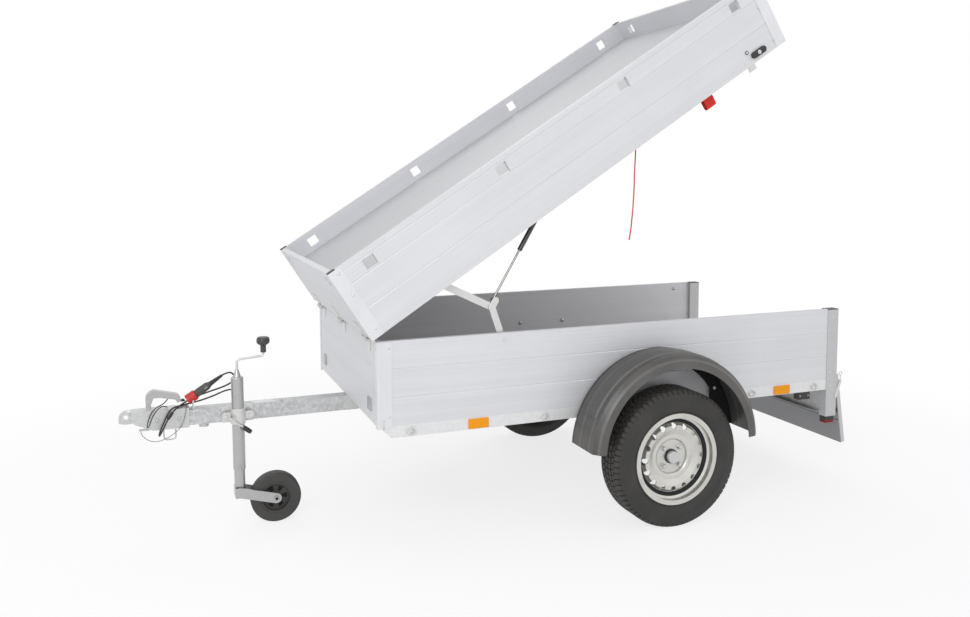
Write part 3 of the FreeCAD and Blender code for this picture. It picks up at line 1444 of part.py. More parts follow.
def lid_hinge_parts():
    """Three strap hinges as lists of lid leaves with their knuckles and box leaves with the pins."""
    lid_leaves, box_leaves = [], []
    wall, face = f"({FRONT} - trim_thickness)", f"({LID_X} - trim_thickness)"
    for index, place in enumerate((f"(strap_inset - {HALF})", "0", f"({HALF} - strap_inset)")):
        near, far = f"({place} - strap_width / 2)", f"({place} + strap_width / 2)"
        eye_near, eye_far = f"({place} - strap_eye_width / 2)", f"({place} + strap_eye_width / 2)"
        leaf = block(f"lid_leaf_{index}", (face, f"{face} + strap_thickness"), (near, far),
                     (LID_Z, f"{LID_Z} + strap_lid_length"))
        eye = rod_between(f"lid_eye_{index}", (PIN_X, PIN_Z), eye_near, eye_far, "knuckle_radius")
        neck = block(f"lid_neck_{index}", (face, PIN_X), (eye_near, eye_far), (PIN_Z, f"{LID_Z} + knuckle_radius"))
        hole = rod_between(f"lid_eye_hole_{index}", (PIN_X, PIN_Z), f"{eye_near} - overrun", f"{eye_far} + overrun",
                           "lid_pin_radius + running_fit")
        lid_leaves.append(cut(f"lid_hinge_{index}", fuse(f"lid_hinge_blank_{index}", leaf, neck, eye), hole))
        plate = block(f"box_leaf_{index}", (wall, f"{wall} + strap_thickness"), (near, far),
                      (f"{PIN_Z} - knuckle_radius - strap_box_length", f"{PIN_Z} - knuckle_radius"))
        ears = []
        for ear, (low, high) in enumerate(((near, f"{eye_near} - knuckle_gap"), (f"{eye_far} + knuckle_gap", far))):
            ears.append(rod_between(f"box_eye_{index}_{ear}", (PIN_X, PIN_Z), low, high, "knuckle_radius"))
            ears.append(block(f"box_ear_{index}_{ear}", (wall, PIN_X), (low, high),
                              (f"{PIN_Z} - knuckle_radius - strap_thickness", f"{PIN_Z} - knuckle_radius / 2")))
        pin = rod_between(f"hinge_pin_{index}", (PIN_X, PIN_Z), near, far, "lid_pin_radius")
        box_leaves.append(fuse(f"box_hinge_{index}", plate, pin, *ears))
    return lid_leaves, box_leaves


def hinges():
    """The lid's leaves, pins and anchors in one piece a body, and all the hinge parts on the box."""
    lid_leaves, box_leaves = lid_hinge_parts()
    lid = group("lid_hinges", *lid_leaves, pair("lid_stay_pins", lid_stay_pins()), *lid_anchors())
    return [opened(lid), group("box_hinges", *box_leaves, *gate_hinges(), pair("box_stay_bolts", stay_bolt()))]


# Scissor stays and gas struts, one set a side

STAY = (f"({FRONT} - stay_back)", f"({RIM} - stay_drop)")
JOINT = (f"({STAY[0]} + stay_joint_ahead)", f"({STAY[1]} + stay_joint_rise)")
STUD = (f"({STAY[0]} + stay_stud_ahead)", f"({STAY[1]} + stay_stud_rise)")
STRUT_PLANE = f"({STAY_PLANE} - strut_inset)"


def on_lid(along, up):
    """X and Z, with the lid open, of a place along and above the closed lid's hinge line."""
    return (f"({PIN_X} - ({along}) * cos(lid_open) + ({up}) * sin(lid_open))",
            f"({PIN_Z} + ({along}) * sin(lid_open) + ({up}) * cos(lid_open))")


def link(name, spots, low, high, bore):
    """Flat link with round ends through its pin places, bored at the first."""
    half = number("link_width / 2")
    plates = [plate_between(start, end, half, half, low, high) for start, end in zip(spots, spots[1:])]
    shape = plates[0].fuse(plates[1:]).removeSplitter() if len(plates) > 1 else plates[0]
    overrun = number("overrun")
    start = FreeCAD.Vector(spots[0][0], low - overrun, spots[0][1])
    return feature(name, shape.cut(Part.makeCylinder(bore, high - low + 2 * overrun, start, ALONG_Y)))


def stay_links(side, sign):
    """Lower link on the box's pivot bolt, and upper link from its joint to the lid."""
    pivot, joint, stud, lid_pin = (numbers(*spot) for spot in (STAY, JOINT, STUD, on_lid("upper_pin_along", "upper_pin_up")))
    inner, outer = STAY_PLANE, f"({STAY_PLANE} + link_thickness)"
    upper_in, upper_out = f"({STAY_PLANE} - link_gap - link_thickness)", f"({STAY_PLANE} - link_gap)"
    cap = f"({upper_in} - 2 * link_gap)"
    bore = number("stay_pin_radius + running_fit")

    def span(low, high):
        return numbers(low, high) if sign > 0 else numbers(f"-1 * {high}", f"-1 * {low}")

    def pin(name, spot, low, high):
        low, high = span(low, high)
        start = FreeCAD.Vector(spot[0], low, spot[1])
        return feature(name, Part.makeCylinder(number("stay_pin_radius"), high - low, start, ALONG_Y))

    lower = link(f"{side}_lower_plate", [pivot, joint, stud], *span(inner, outer), bore)
    upper = link(f"{side}_upper_plate", [joint, lid_pin], *span(upper_in, upper_out), bore)
    joint_pin = pin(f"{side}_joint_pin", joint, cap, outer)
    stud_pin = pin(f"{side}_stud_pin", stud, f"({STRUT_PLANE} + strut_eye + seat_gap)", inner)
    lid_bolt = pin(f"{side}_lid_bolt", lid_pin, cap, upper_out)
    return [fuse(f"{side}_lower_link", lower, joint_pin, stud_pin), fuse(f"{side}_upper_link", upper, lid_bolt)]


def gas_strut(side, sign):
    """Cylinder hung from the lid, and the rod with its piston that reaches the lower link's stud."""
    eye, length, fit, radius = numbers("strut_eye", "strut_length", "running_fit", "strut_rod_radius")
    (foot_x, foot_z), (head_x, head_z) = numbers(*STUD), numbers(*on_lid("strut_pin_along", "strut_pin_up"))
    y = sign * number(STRUT_PLANE)
    foot, head = FreeCAD.Vector(foot_x, y, foot_z), FreeCAD.Vector(head_x, y, head_z)
    span = (head - foot).Length
    along = (head - foot).normalize()
    mouth = head - along * length
    neck = number("strut_head")
    barrel = Part.makeCylinder(number("strut_radius"), length - eye / 2, mouth, along)
    bore = Part.makeCylinder(number("strut_bore"), length - neck, mouth + along * eye, along)
    throat = Part.makeCylinder(radius + fit, neck, mouth - along * eye, along)
    cylinder = barrel.fuse(Part.makeSphere(eye, head)).cut(bore).cut(throat)
    reach = span - length + number("strut_overlap")
    shaft = Part.makeCylinder(radius, reach - eye / 2, foot + along * eye / 2, along)
    piston = Part.makeCylinder(number("strut_piston"), eye, foot + along * reach, along)
    rod_shape = shaft.fuse([Part.makeSphere(eye, foot), piston])
    return [feature(f"{side}_strut_cylinder", cylinder), feature(f"{side}_strut_rod", rod_shape)]


def lid_stay_pins():
    """The left wall's pins for the upper link and the strut's head, on the closed lid."""
    pins = []
    for label, along, up, low in (
            ("link", "upper_pin_along", "upper_pin_up", f"({STAY_PLANE} - link_gap + seat_gap)"),
            ("strut", "strut_pin_along", "strut_pin_up", f"({STRUT_PLANE} + strut_eye + seat_gap)")):
        place = (f"({PIN_X} - {along})", f"({PIN_Z} + {up})")
        pins.append(rod_between(f"{label}_lid_pin", place, low, LID_INNER, "stay_pin_radius"))
    return group("lid_pins_left", *pins)


def stay_bolt():
    """The lower link's pivot bolt on the left wall, with its head outside."""
    shank = rod_between("stay_shank", STAY, f"({STAY_PLANE} - link_gap / 2)", INNER, "stay_pin_radius")
    head = rod_between("stay_head", STAY, FACE, f"{FACE} + bolt_proud", "bolt_radius")
    return group("stay_bolt", shank, head)


# Tailgate, drawn closed and then swung down about its hinge line

GATE_HALF = f"({HALF} - gate_side_gap)"
GATE_HINGE = f"({GATE_HALF} - gate_hinge_inset)"


def tailgate():
    """Grooved panel with notches for the hinge lugs and bores for their pins."""
    face, outer = f"({REAR} - gate_gap)", f"({REAR} - gate_gap - gate_thickness)"
    low, high = f"({GATE_Z} - gate_below)", f"({RIM} - gate_rim_gap)"
    points = [(face, low), (face, high), (outer, high)]
    for joint in reversed(range(1, int(number("plank_count")))):
        level = f"({low} + ({high} - {low}) * {joint} / plank_count)"
        points += [
            (outer, f"{level} + groove_width / 2"), (f"{outer} + groove_depth", level),
            (outer, f"{level} - groove_width / 2"),
        ]
    blank = panel("gate_blank", "XZ", points + [(outer, low)], f"-1 * {GATE_HALF}", GATE_HALF)
    tools = []
    for label, place in (("left", GATE_HINGE), ("right", f"(-1 * {GATE_HINGE})")):
        tools.append(block(f"gate_notch_{label}", (f"{outer} - overrun", f"{face} + overrun"),
                           (f"{place} - gate_notch / 2", f"{place} + gate_notch / 2"),
                           (f"{low} - overrun", f"{low} + gate_notch_height")))
        bore = "(gate_notch / 2 + gate_pin_reach + gate_pin_end)"
        tools.append(rod_between(f"gate_bore_{label}", (GATE_X, GATE_Z), f"{place} - {bore}", f"{place} + {bore}",
                                 "gate_pin_radius + running_fit"))
    return swung(cut("tailgate", blank, *tools), GATE_X, GATE_Z, "gate_lean - 180")


def gate_hinges():
    """Lugs on the rear channel, each with its pin."""
    lugs = []
    for label, place in (("left", GATE_HINGE), ("right", f"(-1 * {GATE_HINGE})")):
        near, far = f"({place} - lug_width / 2)", f"({place} + lug_width / 2)"
        lug = block(f"gate_lug_{label}", (GATE_X, REAR), (near, far), (f"{GATE_Z} - lug_radius", f"{GATE_Z} + lug_radius"))
        leaf = block(f"lug_leaf_{label}", (f"{REAR} - lug_thickness", REAR), (near, far),
                     (f"{BASE} - lug_leaf", f"{GATE_Z} + lug_radius"))
        eye = rod_between(f"lug_eye_{label}", (GATE_X, GATE_Z), near, far, "lug_radius")
        reach = "(gate_notch / 2 + gate_pin_reach)"
        pin = rod_between(f"lug_pin_{label}", (GATE_X, GATE_Z), f"{place} - {reach}", f"{place} + {reach}",
                          "gate_pin_radius")
        lugs.append(fuse(f"gate_hinge_{label}", lug, leaf, eye, pin))
    return lugs


def gate_latches():
    """Hanging latch bars beside the posts, each with its pull ring."""
    top = (f"({REAR} - latch_reach)", f"({BASE} - latch_level)")
    foot = (f"({REAR} + latch_width / 2)", f"({BASE} - latch_drop)")
    half, near, far = numbers("latch_width / 2", HALF, f"{HALF} + latch_thickness")
    bar = feature("latch_bar", plate_between(numbers(*top), numbers(*foot), half, half, near, far))
    middle = f"({HALF} + latch_thickness / 2)"
    stem = rod("latch_stem", (top[0], middle, top[1]), "latch_wire", "latch_ring_rise")
    ring = bent_ring("latch_pull", "latch_ring", "latch_wire", "360",
                     (top[0], middle, f"{top[1]} + latch_ring_rise + latch_ring"))
    return pair("gate_latches", fuse("left_latch", bar, stem, ring))


# Lamps, reflectors and lashing eyes

LAMP_X = f"({REAR} + lamp_bar_inset)"
LAMP_FOOT = f"({BASE} - lamp_bar_drop)"


def lamp_bar():
    return channel("lamp_bar", (LAMP_X, f"{LAMP_X} + lamp_bar_return"), (f"-1 * {POST_IN}", POST_IN),
                   (LAMP_FOOT, SILL), "lamp_bar_wall", "overrun")


def rear_lamps():
    """Housings with their lenses, the small marker lamps under the posts and a junction box."""
    y = (f"{POST_IN} - lamp_inset - lamp_width", f"{POST_IN} - lamp_inset")
    z = (f"{LAMP_FOOT} + lamp_bar_wall", f"{LAMP_FOOT} + lamp_bar_wall + lamp_height")
    housing = block("lamp_housing", (f"{LAMP_X} - lamp_body", LAMP_X), y, z)
    lens = block("lamp_lens", (f"{LAMP_X} - lamp_body - lamp_lens", f"{LAMP_X} - lamp_body"), y, z)
    x, side, foot = (f"{POST} - marker_length", POST), (f"{HALF} - marker_width", HALF), f"({POST_FOOT} - marker_body)"
    marker = block("marker_body", x, side, (foot, POST_FOOT))
    glow = block("marker_lens", x, side, (f"{foot} - marker_lens", foot))
    front = f"({REAR} + junction_ahead)"
    junction = block("junction_box", (front, f"{front} + junction_length"), (f"{FACE} - sill_width", FACE),
                     (f"{SILL} - junction_height", SILL))
    housings = pair("lamp_housings", group("lamp_housings_left", housing, marker))
    return [group("rear_lamp_housings", housings, junction),
            pair("rear_lamp_lenses", group("lamp_lenses_left", lens, glow))]


def reflectors():
    """Side reflectors on the sills and square ones on the front wall."""
    low = f"({SILL} + (sill_height - reflector_height) / 2)"
    sides = [
        block(f"side_reflector_{label}", (f"{middle} - reflector_length / 2", f"{middle} + reflector_length / 2"),
              (FACE, f"{FACE} + reflector_thickness"), (low, f"{low} + reflector_height"))
        for label, middle in (("front", f"({FRONT} - side_reflector_back)"), ("rear", f"({REAR} + side_reflector_ahead)"))
    ]
    side = pair("side_reflectors", group("side_reflectors_left", *sides))
    face, centre, level = f"({FRONT} - trim_thickness)", f"({HALF} - front_reflector_inset)", f"({BASE} + front_reflector_rise)"
    front = block("front_reflector", (face, f"{face} + reflector_thickness"),
                  (f"{centre} - front_reflector / 2", f"{centre} + front_reflector / 2"),
                  (level, f"{level} + front_reflector"))
    return [side, pair("front_reflectors", front)]


def lashing_eyes():
    """Open ring hooks on round feet along the sills."""
    eyes = []
    places = (f"({FRONT} - eye_front_back)", f"({FRONT} - eye_mid_back)",
              f"({REAR} + eye_mid_ahead)", f"({REAR} + eye_rear_ahead)")
    level = f"({BASE} - eye_drop)"
    for index, place in enumerate(places):
        ring = bent_ring(f"eye_ring_{index}", "eye_ring", "eye_wire", "eye_sweep",
                         (place, f"{FACE} + eye_stand", level))
        foot = rod_between(f"eye_foot_{index}", (f"{place} + eye_ring", level), FACE, f"{FACE} + 2 * eye_stand",
                           "eye_base")
        eyes.append(fuse(f"eye_{index}", ring, foot))
    return pair("lashing_eyes", group("eyes_left", *eyes))


# Cords

def hung(route, place):
    """A route measured from a place, as points."""
    return [tuple(start + step for start, step in zip(place, steps)) for steps in route]


def cords():
    anchor_x, anchor_z = numbers(*on_lid("(cord_anchor_back + cord_anchor_length / 2)", "lid_gap"))
    anchor_y = number(f"{LID_INNER} - lid_flange - cord_anchor_reach * 2 / 3")
    return [
        cord("plug_cable", PLUG_CABLE_ROUTE, "cable_radius"),
        cord("safety_rope", SAFETY_ROPE_ROUTE, "rope_radius"),
        cord("breakaway_wire", BREAKAWAY_ROUTE, "wire_radius"),
        cord("lid_pull_cord", hung(PULL_CORD_STEPS, (anchor_x, anchor_y, anchor_z)), "pull_cord_radius"),
    ]


# Build, check and write

pieces = [
    drawbar(), coupling_head(), coupling_handle(), drawbar_fittings(), trailer_plug(),
    jockey_tube(), jockey_clamp(), jockey_crank(), crank_knob(), jockey_nut(), jockey_leg(), *jockey_wheel(),
    axle_beam(), trailing_arms(), side_sills(), cross_members(), floor_panel(),
    side_walls(), front_wall(), front_corner_trims(), rear_posts(), post_fittings(), mudguards(),
    lamp_bar(), *rear_lamps(), *reflectors(), lashing_eyes(), gate_latches(),
    lid_side_walls(), lid_end_walls(), lid_roof(), *lid_corners(), lid_locks(), lid_hand_strap(), *hinges(),
    tailgate(), *cords(),
]
for side, sign in (("left", 1), ("right", -1)):
    pieces += stay_links(side, sign) + gas_strut(side, sign)
    centre = (ahead("0"), f"{sign} * {WHEEL_PLANE}", HUB_Z)
    pieces += [move(piece, *centre) for piece in (tyre(side), wheel(side, sign), hub(side, sign))]

doc.recompute()
failed = [item.Name for item in doc.Objects if {"Invalid", "Error"} & set(item.State)]
for piece in pieces:
    piece.Label = piece.Name
    if piece.Shape.isNull() or not piece.Shape.isValid():
        failed.append(piece.Name)
if failed:
    raise SystemExit(f"These did not build: {failed}")

os.makedirs("parts", exist_ok=True)
for piece in pieces:
    piece.Shape.exportStep(f"parts/{piece.Label}.step")
    print(piece.Label, len(piece.Shape.Solids), round(piece.Shape.Volume / 1000), "cm3")
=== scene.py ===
import json
import logging
import math
from dataclasses import dataclass
from enum import Enum
from typing import Callable, Iterable, Sequence

import bpy
from mathutils import Matrix, Vector


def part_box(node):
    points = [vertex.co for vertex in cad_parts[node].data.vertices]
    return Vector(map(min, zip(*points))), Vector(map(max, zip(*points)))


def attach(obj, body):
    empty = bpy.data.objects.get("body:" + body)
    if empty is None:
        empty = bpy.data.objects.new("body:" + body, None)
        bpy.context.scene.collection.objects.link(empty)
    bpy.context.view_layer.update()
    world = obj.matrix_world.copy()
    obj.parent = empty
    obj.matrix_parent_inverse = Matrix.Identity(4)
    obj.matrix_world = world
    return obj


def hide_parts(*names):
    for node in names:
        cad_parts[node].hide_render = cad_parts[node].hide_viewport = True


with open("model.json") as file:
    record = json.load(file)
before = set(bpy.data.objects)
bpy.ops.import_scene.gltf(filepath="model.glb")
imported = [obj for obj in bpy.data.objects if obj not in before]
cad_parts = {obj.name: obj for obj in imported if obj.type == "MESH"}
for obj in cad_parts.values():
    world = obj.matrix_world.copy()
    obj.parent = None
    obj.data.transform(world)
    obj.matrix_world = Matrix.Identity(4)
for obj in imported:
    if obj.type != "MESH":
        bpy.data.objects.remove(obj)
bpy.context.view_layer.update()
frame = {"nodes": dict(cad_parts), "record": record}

LOG = logging.getLogger("trailer")

Triple = tuple[float, float, float]
Point = Triple | Vector

GROUND = -0.458
AXLE = Vector((-2.010, 0.0, -0.1845))
LID_PIN = Vector((-0.830, 0.0, 0.332))
LID_ANGLE = math.radians(32.6)
BOX_FACE = 0.5325
TRIM_FACE = 0.5350
BOX_FRONT = -0.852
BOX_BASE = 0.018
LID_FACE = 0.5535
LID_TRIM = 0.556


class Slot(Enum):
    """The record's material slots that pieces take their finishes from."""

    STEEL = "galvanised_steel"
    PANEL = "aluminium_panel"
    PLASTIC = "black_plastic"
    RUBBER = "black_rubber"
    TYRE = "road_tyre"
    GLOSS = "black_steel"
    ROD = "bright_rod"
    PLY = "phenolic_ply"
    RED_LENS = "red_lens"
    ORANGE_LENS = "orange_lens"
    CLEAR = "clear_reflector"
    CABLE = "black_cable"
    WIRE = "steel_wire"
    WEBBING = "red_webbing"


class Element(Enum):
    """What a selection in edit mode is made of."""

    POINTS = "VERT"
    EDGES = "EDGE"
    FACES = "FACE"


class Wire:
    """A shader socket used in Python expressions, each of which adds its Math node."""

    def __init__(self, tree: bpy.types.NodeTree, socket: bpy.types.NodeSocket) -> None:
        """Holds a socket and its tree.

        Args:
            tree: The node tree that the expressions grow in.
            socket: The output that this value comes from.
        """
        self.tree = tree
        self.socket = socket

    def joined(self, operation: str, *terms: "Wire | float", clamp: bool = False) -> "Wire":
        """Adds one Math node.

        Args:
            operation: The Math node's operation.
            *terms: Its inputs in order, values or wires.
            clamp: Whether the result is kept between 0 and 1.

        Returns:
            The node's result.
        """
        node = self.tree.nodes.new("ShaderNodeMath")
        node.operation = operation
        node.use_clamp = clamp
        for number, term in enumerate(terms):
            if isinstance(term, Wire):
                self.tree.links.new(term.socket, node.inputs[number])
            else:
                node.inputs[number].default_value = float(term)
        return Wire(self.tree, node.outputs[0])

    def __add__(self, other: "Wire | float") -> "Wire":
        """Sum."""
        return self.joined("ADD", self, other)

    def __radd__(self, other: float) -> "Wire":
        """Sum, from the right."""
        return self.joined("ADD", other, self)

    def __sub__(self, other: "Wire | float") -> "Wire":
        """Difference."""
        return self.joined("SUBTRACT", self, other)

    def __rsub__(self, other: float) -> "Wire":
        """Difference, from the right."""
        return self.joined("SUBTRACT", other, self)

    def __mul__(self, other: "Wire | float") -> "Wire":
        """Product."""
        return self.joined("MULTIPLY", self, other)

    def __rmul__(self, other: float) -> "Wire":
        """Product, from the right."""
        return self.joined("MULTIPLY", other, self)

    def __truediv__(self, other: "Wire | float") -> "Wire":
        """Quotient."""
        return self.joined("DIVIDE", self, other)

    def __rtruediv__(self, other: float) -> "Wire":
        """Quotient, from the right."""
        return self.joined("DIVIDE", other, self)

    def __pow__(self, other: "Wire | float") -> "Wire":
        """Power."""
        return self.joined("POWER", self, other)

    def above(self, limit: float) -> "Wire":
        """One where the value is over a limit, and zero elsewhere."""
        return self.joined("GREATER_THAN", self, limit)

    def held(self) -> "Wire":
        """The value kept between 0 and 1."""
        return self.joined("ADD", self, 0.0, clamp=True)

    def root(self) -> "Wire":
        """Square root."""
        return self.joined("SQRT", self)

    def ramped(self, low: float, high: float) -> "Wire":
        """The value's smooth rise from 0 at low to 1 at high."""
        node = self.tree.nodes.new("ShaderNodeMapRange")
        node.interpolation_type = "SMOOTHSTEP"
        node.inputs["From Min"].default_value = low
        node.inputs["From Max"].default_value = high
        self.tree.links.new(self.socket, node.inputs["Value"])
        return Wire(self.tree, node.outputs["Result"])


class Graph:
    """The node tree of one material."""

    def __init__(self, name: str) -> None:
        """Starts a material with its Principled shader.

        Args:
            name: The material's name.
        """
        self.material = bpy.data.materials.new(name)
        self.material.use_nodes = True
        self.tree = self.material.node_tree
        self.shader = self.tree.nodes["Principled BSDF"]

    def node(self, kind: str, settings: dict[str, object], inputs: dict[str, object]) -> bpy.types.Node:
        """Adds one node.

        Args:
            kind: The node's type.
            settings: Properties of the node, set before its sockets.
            inputs: Values or wires by socket name.

        Returns:
            The new node.
        """
        made = self.tree.nodes.new(kind)
        for key, value in settings.items():
            setattr(made, key, value)
        for key, value in inputs.items():
            self.plug(made.inputs[key], value)
        return made

    def plug(self, socket: bpy.types.NodeSocket, value: object) -> None:
        """Gives a socket a wire or a value."""
        if isinstance(value, Wire):
            self.tree.links.new(value.socket, socket)
        else:
            socket.default_value = value

    def out(self, node: bpy.types.Node, name: str) -> Wire:
        """A wire from a node's output."""
        return Wire(self.tree, node.outputs[name])

    def where(self, stretch: Triple = (1.0, 1.0, 1.0), turn: Triple = (0.0, 0.0, 0.0),
              centre: Triple = (0.0, 0.0, 0.0)) -> Wire:
        """The place on the object, turned to a pattern's own directions and stretched.

        Args:
            stretch: How many pattern units a metre holds, by axis.
            turn: The turn in radians.
            centre: The point that becomes the pattern's origin.

        Returns:
            The pattern's coordinates.
        """
        place = self.node("ShaderNodeTexCoord", {}, {})
        moved = self.node("ShaderNodeVectorMath", {"operation": "SUBTRACT"}, {})
        self.tree.links.new(place.outputs["Object"], moved.inputs[0])
        moved.inputs[1].default_value = centre
        turned = self.node("ShaderNodeVectorRotate", {"rotation_type": "EULER_XYZ"}, {"Rotation": turn})
        self.tree.links.new(moved.outputs[0], turned.inputs["Vector"])
        scaled = self.node("ShaderNodeVectorMath", {"operation": "MULTIPLY"}, {})
        self.tree.links.new(turned.outputs[0], scaled.inputs[0])
        scaled.inputs[1].default_value = stretch
        return Wire(self.tree, scaled.outputs[0])

    def noise(self, where: Wire, scale: float, detail: float = 2.0) -> Wire:
        """A cloudy value between 0 and 1."""
        made = self.node("ShaderNodeTexNoise", {}, {"Vector": where, "Scale": scale, "Detail": detail})
        return self.out(made, "Fac")

    def cells(self, where: Wire, scale: float) -> bpy.types.Node:
        """Voronoi cells, for spangle and grain."""
        return self.node("ShaderNodeTexVoronoi", {"feature": "F1"}, {"Vector": where, "Scale": scale})

    def bands(self, where: Wire, scale: float, direction: str) -> Wire:
        """Even sine bands across one of the pattern's axes."""
        made = self.node("ShaderNodeTexWave", {"wave_type": "BANDS", "bands_direction": direction},
                         {"Vector": where, "Scale": scale})
        return self.out(made, "Fac")

    def axis(self, where: Wire, name: str) -> Wire:
        """One coordinate of a place."""
        made = self.node("ShaderNodeSeparateXYZ", {}, {"Vector": where})
        return self.out(made, name)

    def blend(self, share: Wire | float, first: object, second: object) -> Wire:
        """A colour between two.

        Args:
            share: How much of the second shows.
            first: A colour or a wire.
            second: A colour or a wire.

        Returns:
            The mixed colour.
        """
        made = self.node("ShaderNodeMix", {"data_type": "RGBA"}, {})
        self.plug(made.inputs[0], share)
        self.plug(made.inputs[6], first)
        self.plug(made.inputs[7], second)
        return Wire(self.tree, made.outputs[2])

    def bumped(self, height: Wire, distance: float, strength: float = 1.0) -> None:
        """Lets a height in pattern units roughen the surface.

        Args:
            height: The height, between 0 and 1.
            distance: What a height of 1 is, in metres.
            strength: How strongly it shows.
        """
        bump = self.node("ShaderNodeBump", {}, {"Height": height, "Distance": distance, "Strength": strength})
        self.tree.links.new(bump.outputs[0], self.shader.inputs["Normal"])

    def set(self, **values: object) -> None:
        """Gives the shader's own sockets their values; an underscore stands for a space."""
        for key, value in values.items():
            self.plug(self.shader.inputs[key.replace("_", " ")], value)


def colour(red: float, green: float, blue: float) -> tuple[float, float, float, float]:
    """A display colour of 0 to 255 as the shader's linear one."""
    def linear(value: float) -> float:
        share = value / 255
        return share / 12.92 if share <= 0.04045 else ((share + 0.055) / 1.055) ** 2.4
    return (linear(red), linear(green), linear(blue), 1.0)


def shade(base: tuple[float, float, float, float], factor: float) -> tuple[float, float, float, float]:
    """A linear colour made lighter or darker."""
    return tuple(part * factor for part in base[:3]) + (1.0,)


@dataclass(frozen=True)
class RolledSheet:
    """Anodised aluminium plank: satin, with fine lengthwise rolling lines and soft smudges."""

    name: str
    tone: tuple[float, float, float, float] = colour(214, 215, 219)
    turn: Triple = (0.0, 0.0, 0.0)
    roughness: float = 0.46
    metallic: float = 0.22
    painted_shade_side: tuple[float, float, float] | None = None

    def build(self) -> bpy.types.Material:
        """Makes the material; past a sloped plane it is painted duller and darker, as painted shade."""
        g = Graph(self.name)
        lines = g.noise(g.where((1.4, 420.0, 420.0), self.turn), 1.0, 3.0)
        broad = g.noise(g.where((0.6, 30.0, 30.0), self.turn), 1.0, 2.0)
        smudge = g.noise(g.where(), 5.0, 4.0)
        share = (lines * 0.45 + broad * 0.3 + smudge * 0.25).ramped(0.3, 0.7)
        plain = g.blend(share, shade(self.tone, 0.93), shade(self.tone, 1.03))
        # painted shade: past the sloped plane the colour is dimmed
        if self.painted_shade_side:
            slope, past, dimmed = self.painted_shade_side
            across = g.axis(g.where(), "X") - g.axis(g.where(), "Z") * slope
            plain = g.blend(across.ramped(past, past + 0.001), plain, shade(self.tone, dimmed))
        g.set(Base_Color=plain,
              Roughness=self.roughness + (lines - 0.5) * 0.16 + (smudge - 0.5) * 0.1,
              Metallic=self.metallic)
        g.bumped(lines, 0.00006, 0.6)
        return g.material


@dataclass(frozen=True)
class Galvanised:
    """Hot dipped zinc: crystal spangle, dull patches and small runs."""

    name: str
    tone: tuple[float, float, float, float] = colour(196, 198, 199)
    spangle: float = 95.0
    contrast: float = 0.2
    roughness: float = 0.42
    metallic: float = 0.62
    relief: float = 0.0004

    def build(self) -> bpy.types.Material:
        """Makes the material."""
        g = Graph(self.name)
        warp = g.noise(g.where(), 60.0, 2.0)
        crystals = g.cells(g.where(), self.spangle)
        tint = g.axis(Wire(g.tree, crystals.outputs["Color"]), "X")
        cloud = g.noise(g.where(), 9.0, 5.0)
        fine = g.noise(g.where(), 160.0, 2.0)
        share = (tint * 0.5 + cloud * 0.35 + warp * 0.15).ramped(0.15, 0.85)
        dark, pale = shade(self.tone, 1.0 - self.contrast), shade(self.tone, 1.0 + self.contrast / 2)
        g.set(Base_Color=g.blend(share, dark, pale),
              Roughness=self.roughness + (tint - 0.5) * self.contrast * 0.7 + (cloud - 0.5) * 0.2,
              Metallic=self.metallic)
        g.bumped(fine * 0.3 + cloud * 0.7, self.relief, 0.3)
        return g.material


@dataclass(frozen=True)
class SprayedSteel:
    """Silver paint on pressed steel, with the slight ripple of sprayed lacquer."""

    name: str
    tone: tuple[float, float, float, float] = colour(206, 205, 200)

    def build(self) -> bpy.types.Material:
        """Makes the material."""
        g = Graph(self.name)
        flake = g.cells(g.where(), 2600.0)
        sparkle = g.axis(Wire(g.tree, flake.outputs["Color"]), "X")
        ripple = g.noise(g.where(), 240.0, 2.0)
        dust = g.noise(g.where(), 14.0, 4.0).ramped(0.45, 0.8)
        plain = g.blend(sparkle, shade(self.tone, 0.94), shade(self.tone, 1.04))
        g.set(Base_Color=g.blend(dust * 0.35, plain, colour(176, 170, 160)),
              Roughness=0.32 + dust * 0.2, Metallic=0.75)
        g.shader.inputs["Coat Weight"].default_value = 0.25
        g.bumped(ripple, 0.0002, 0.3)
        return g.material


@dataclass(frozen=True)
class Moulded:
    """Moulded plastic or rubber: fine grain, dust in broad clouds and paler streaks, and where asked painted shade near
    the middle and painted highlights along ridge edges.
    """

    name: str
    tone: tuple[float, float, float, float]
    dusty: tuple[float, float, float, float]
    grain: float = 1400.0
    depth: float = 0.00012
    roughness: float = 0.6
    dust: float = 0.35
    painted_shade_reach: float = 0.0
    ridge_highlights: Sequence[float] = ()

    def build(self) -> bpy.types.Material:
        """Makes the material; within a reach from the middle it is painted near black as painted shade, and listed
        ridge edges get a painted highlight.
        """
        g = Graph(self.name)
        grain = g.out(g.cells(g.where(), self.grain), "Distance")
        cloud = g.noise(g.where(), 7.0, 5.0).ramped(0.35, 0.75)
        streak = g.noise(g.where((60.0, 60.0, 3.0)), 1.0, 3.0).ramped(0.55, 0.8)
        share = (cloud * 0.7 + streak * 0.3) * self.dust
        dust_and_painted_light = g.blend(share, self.tone, self.dusty)
        if self.painted_shade_reach:
            across = g.axis(g.where(), "Y")
            reach = across.joined("ABSOLUTE", across)
            # painted highlight: a paler line along each listed ridge edge
            for edge in self.ridge_highlights:
                gap = reach - edge
                dust_and_painted_light = g.blend((1.0 - gap.joined("ABSOLUTE", gap).ramped(0.0015, 0.0065)) * 0.5, dust_and_painted_light, self.dusty)
            # painted shade: near black within the reach from the middle, next to the box wall
            dust_and_painted_light = g.blend(reach.ramped(self.painted_shade_reach, self.painted_shade_reach + 0.012), colour(24, 24, 24), dust_and_painted_light)
        g.set(Base_Color=dust_and_painted_light, Roughness=self.roughness + (cloud - 0.5) * 0.16)
        g.bumped(grain, self.depth, 0.5)
        return g.material


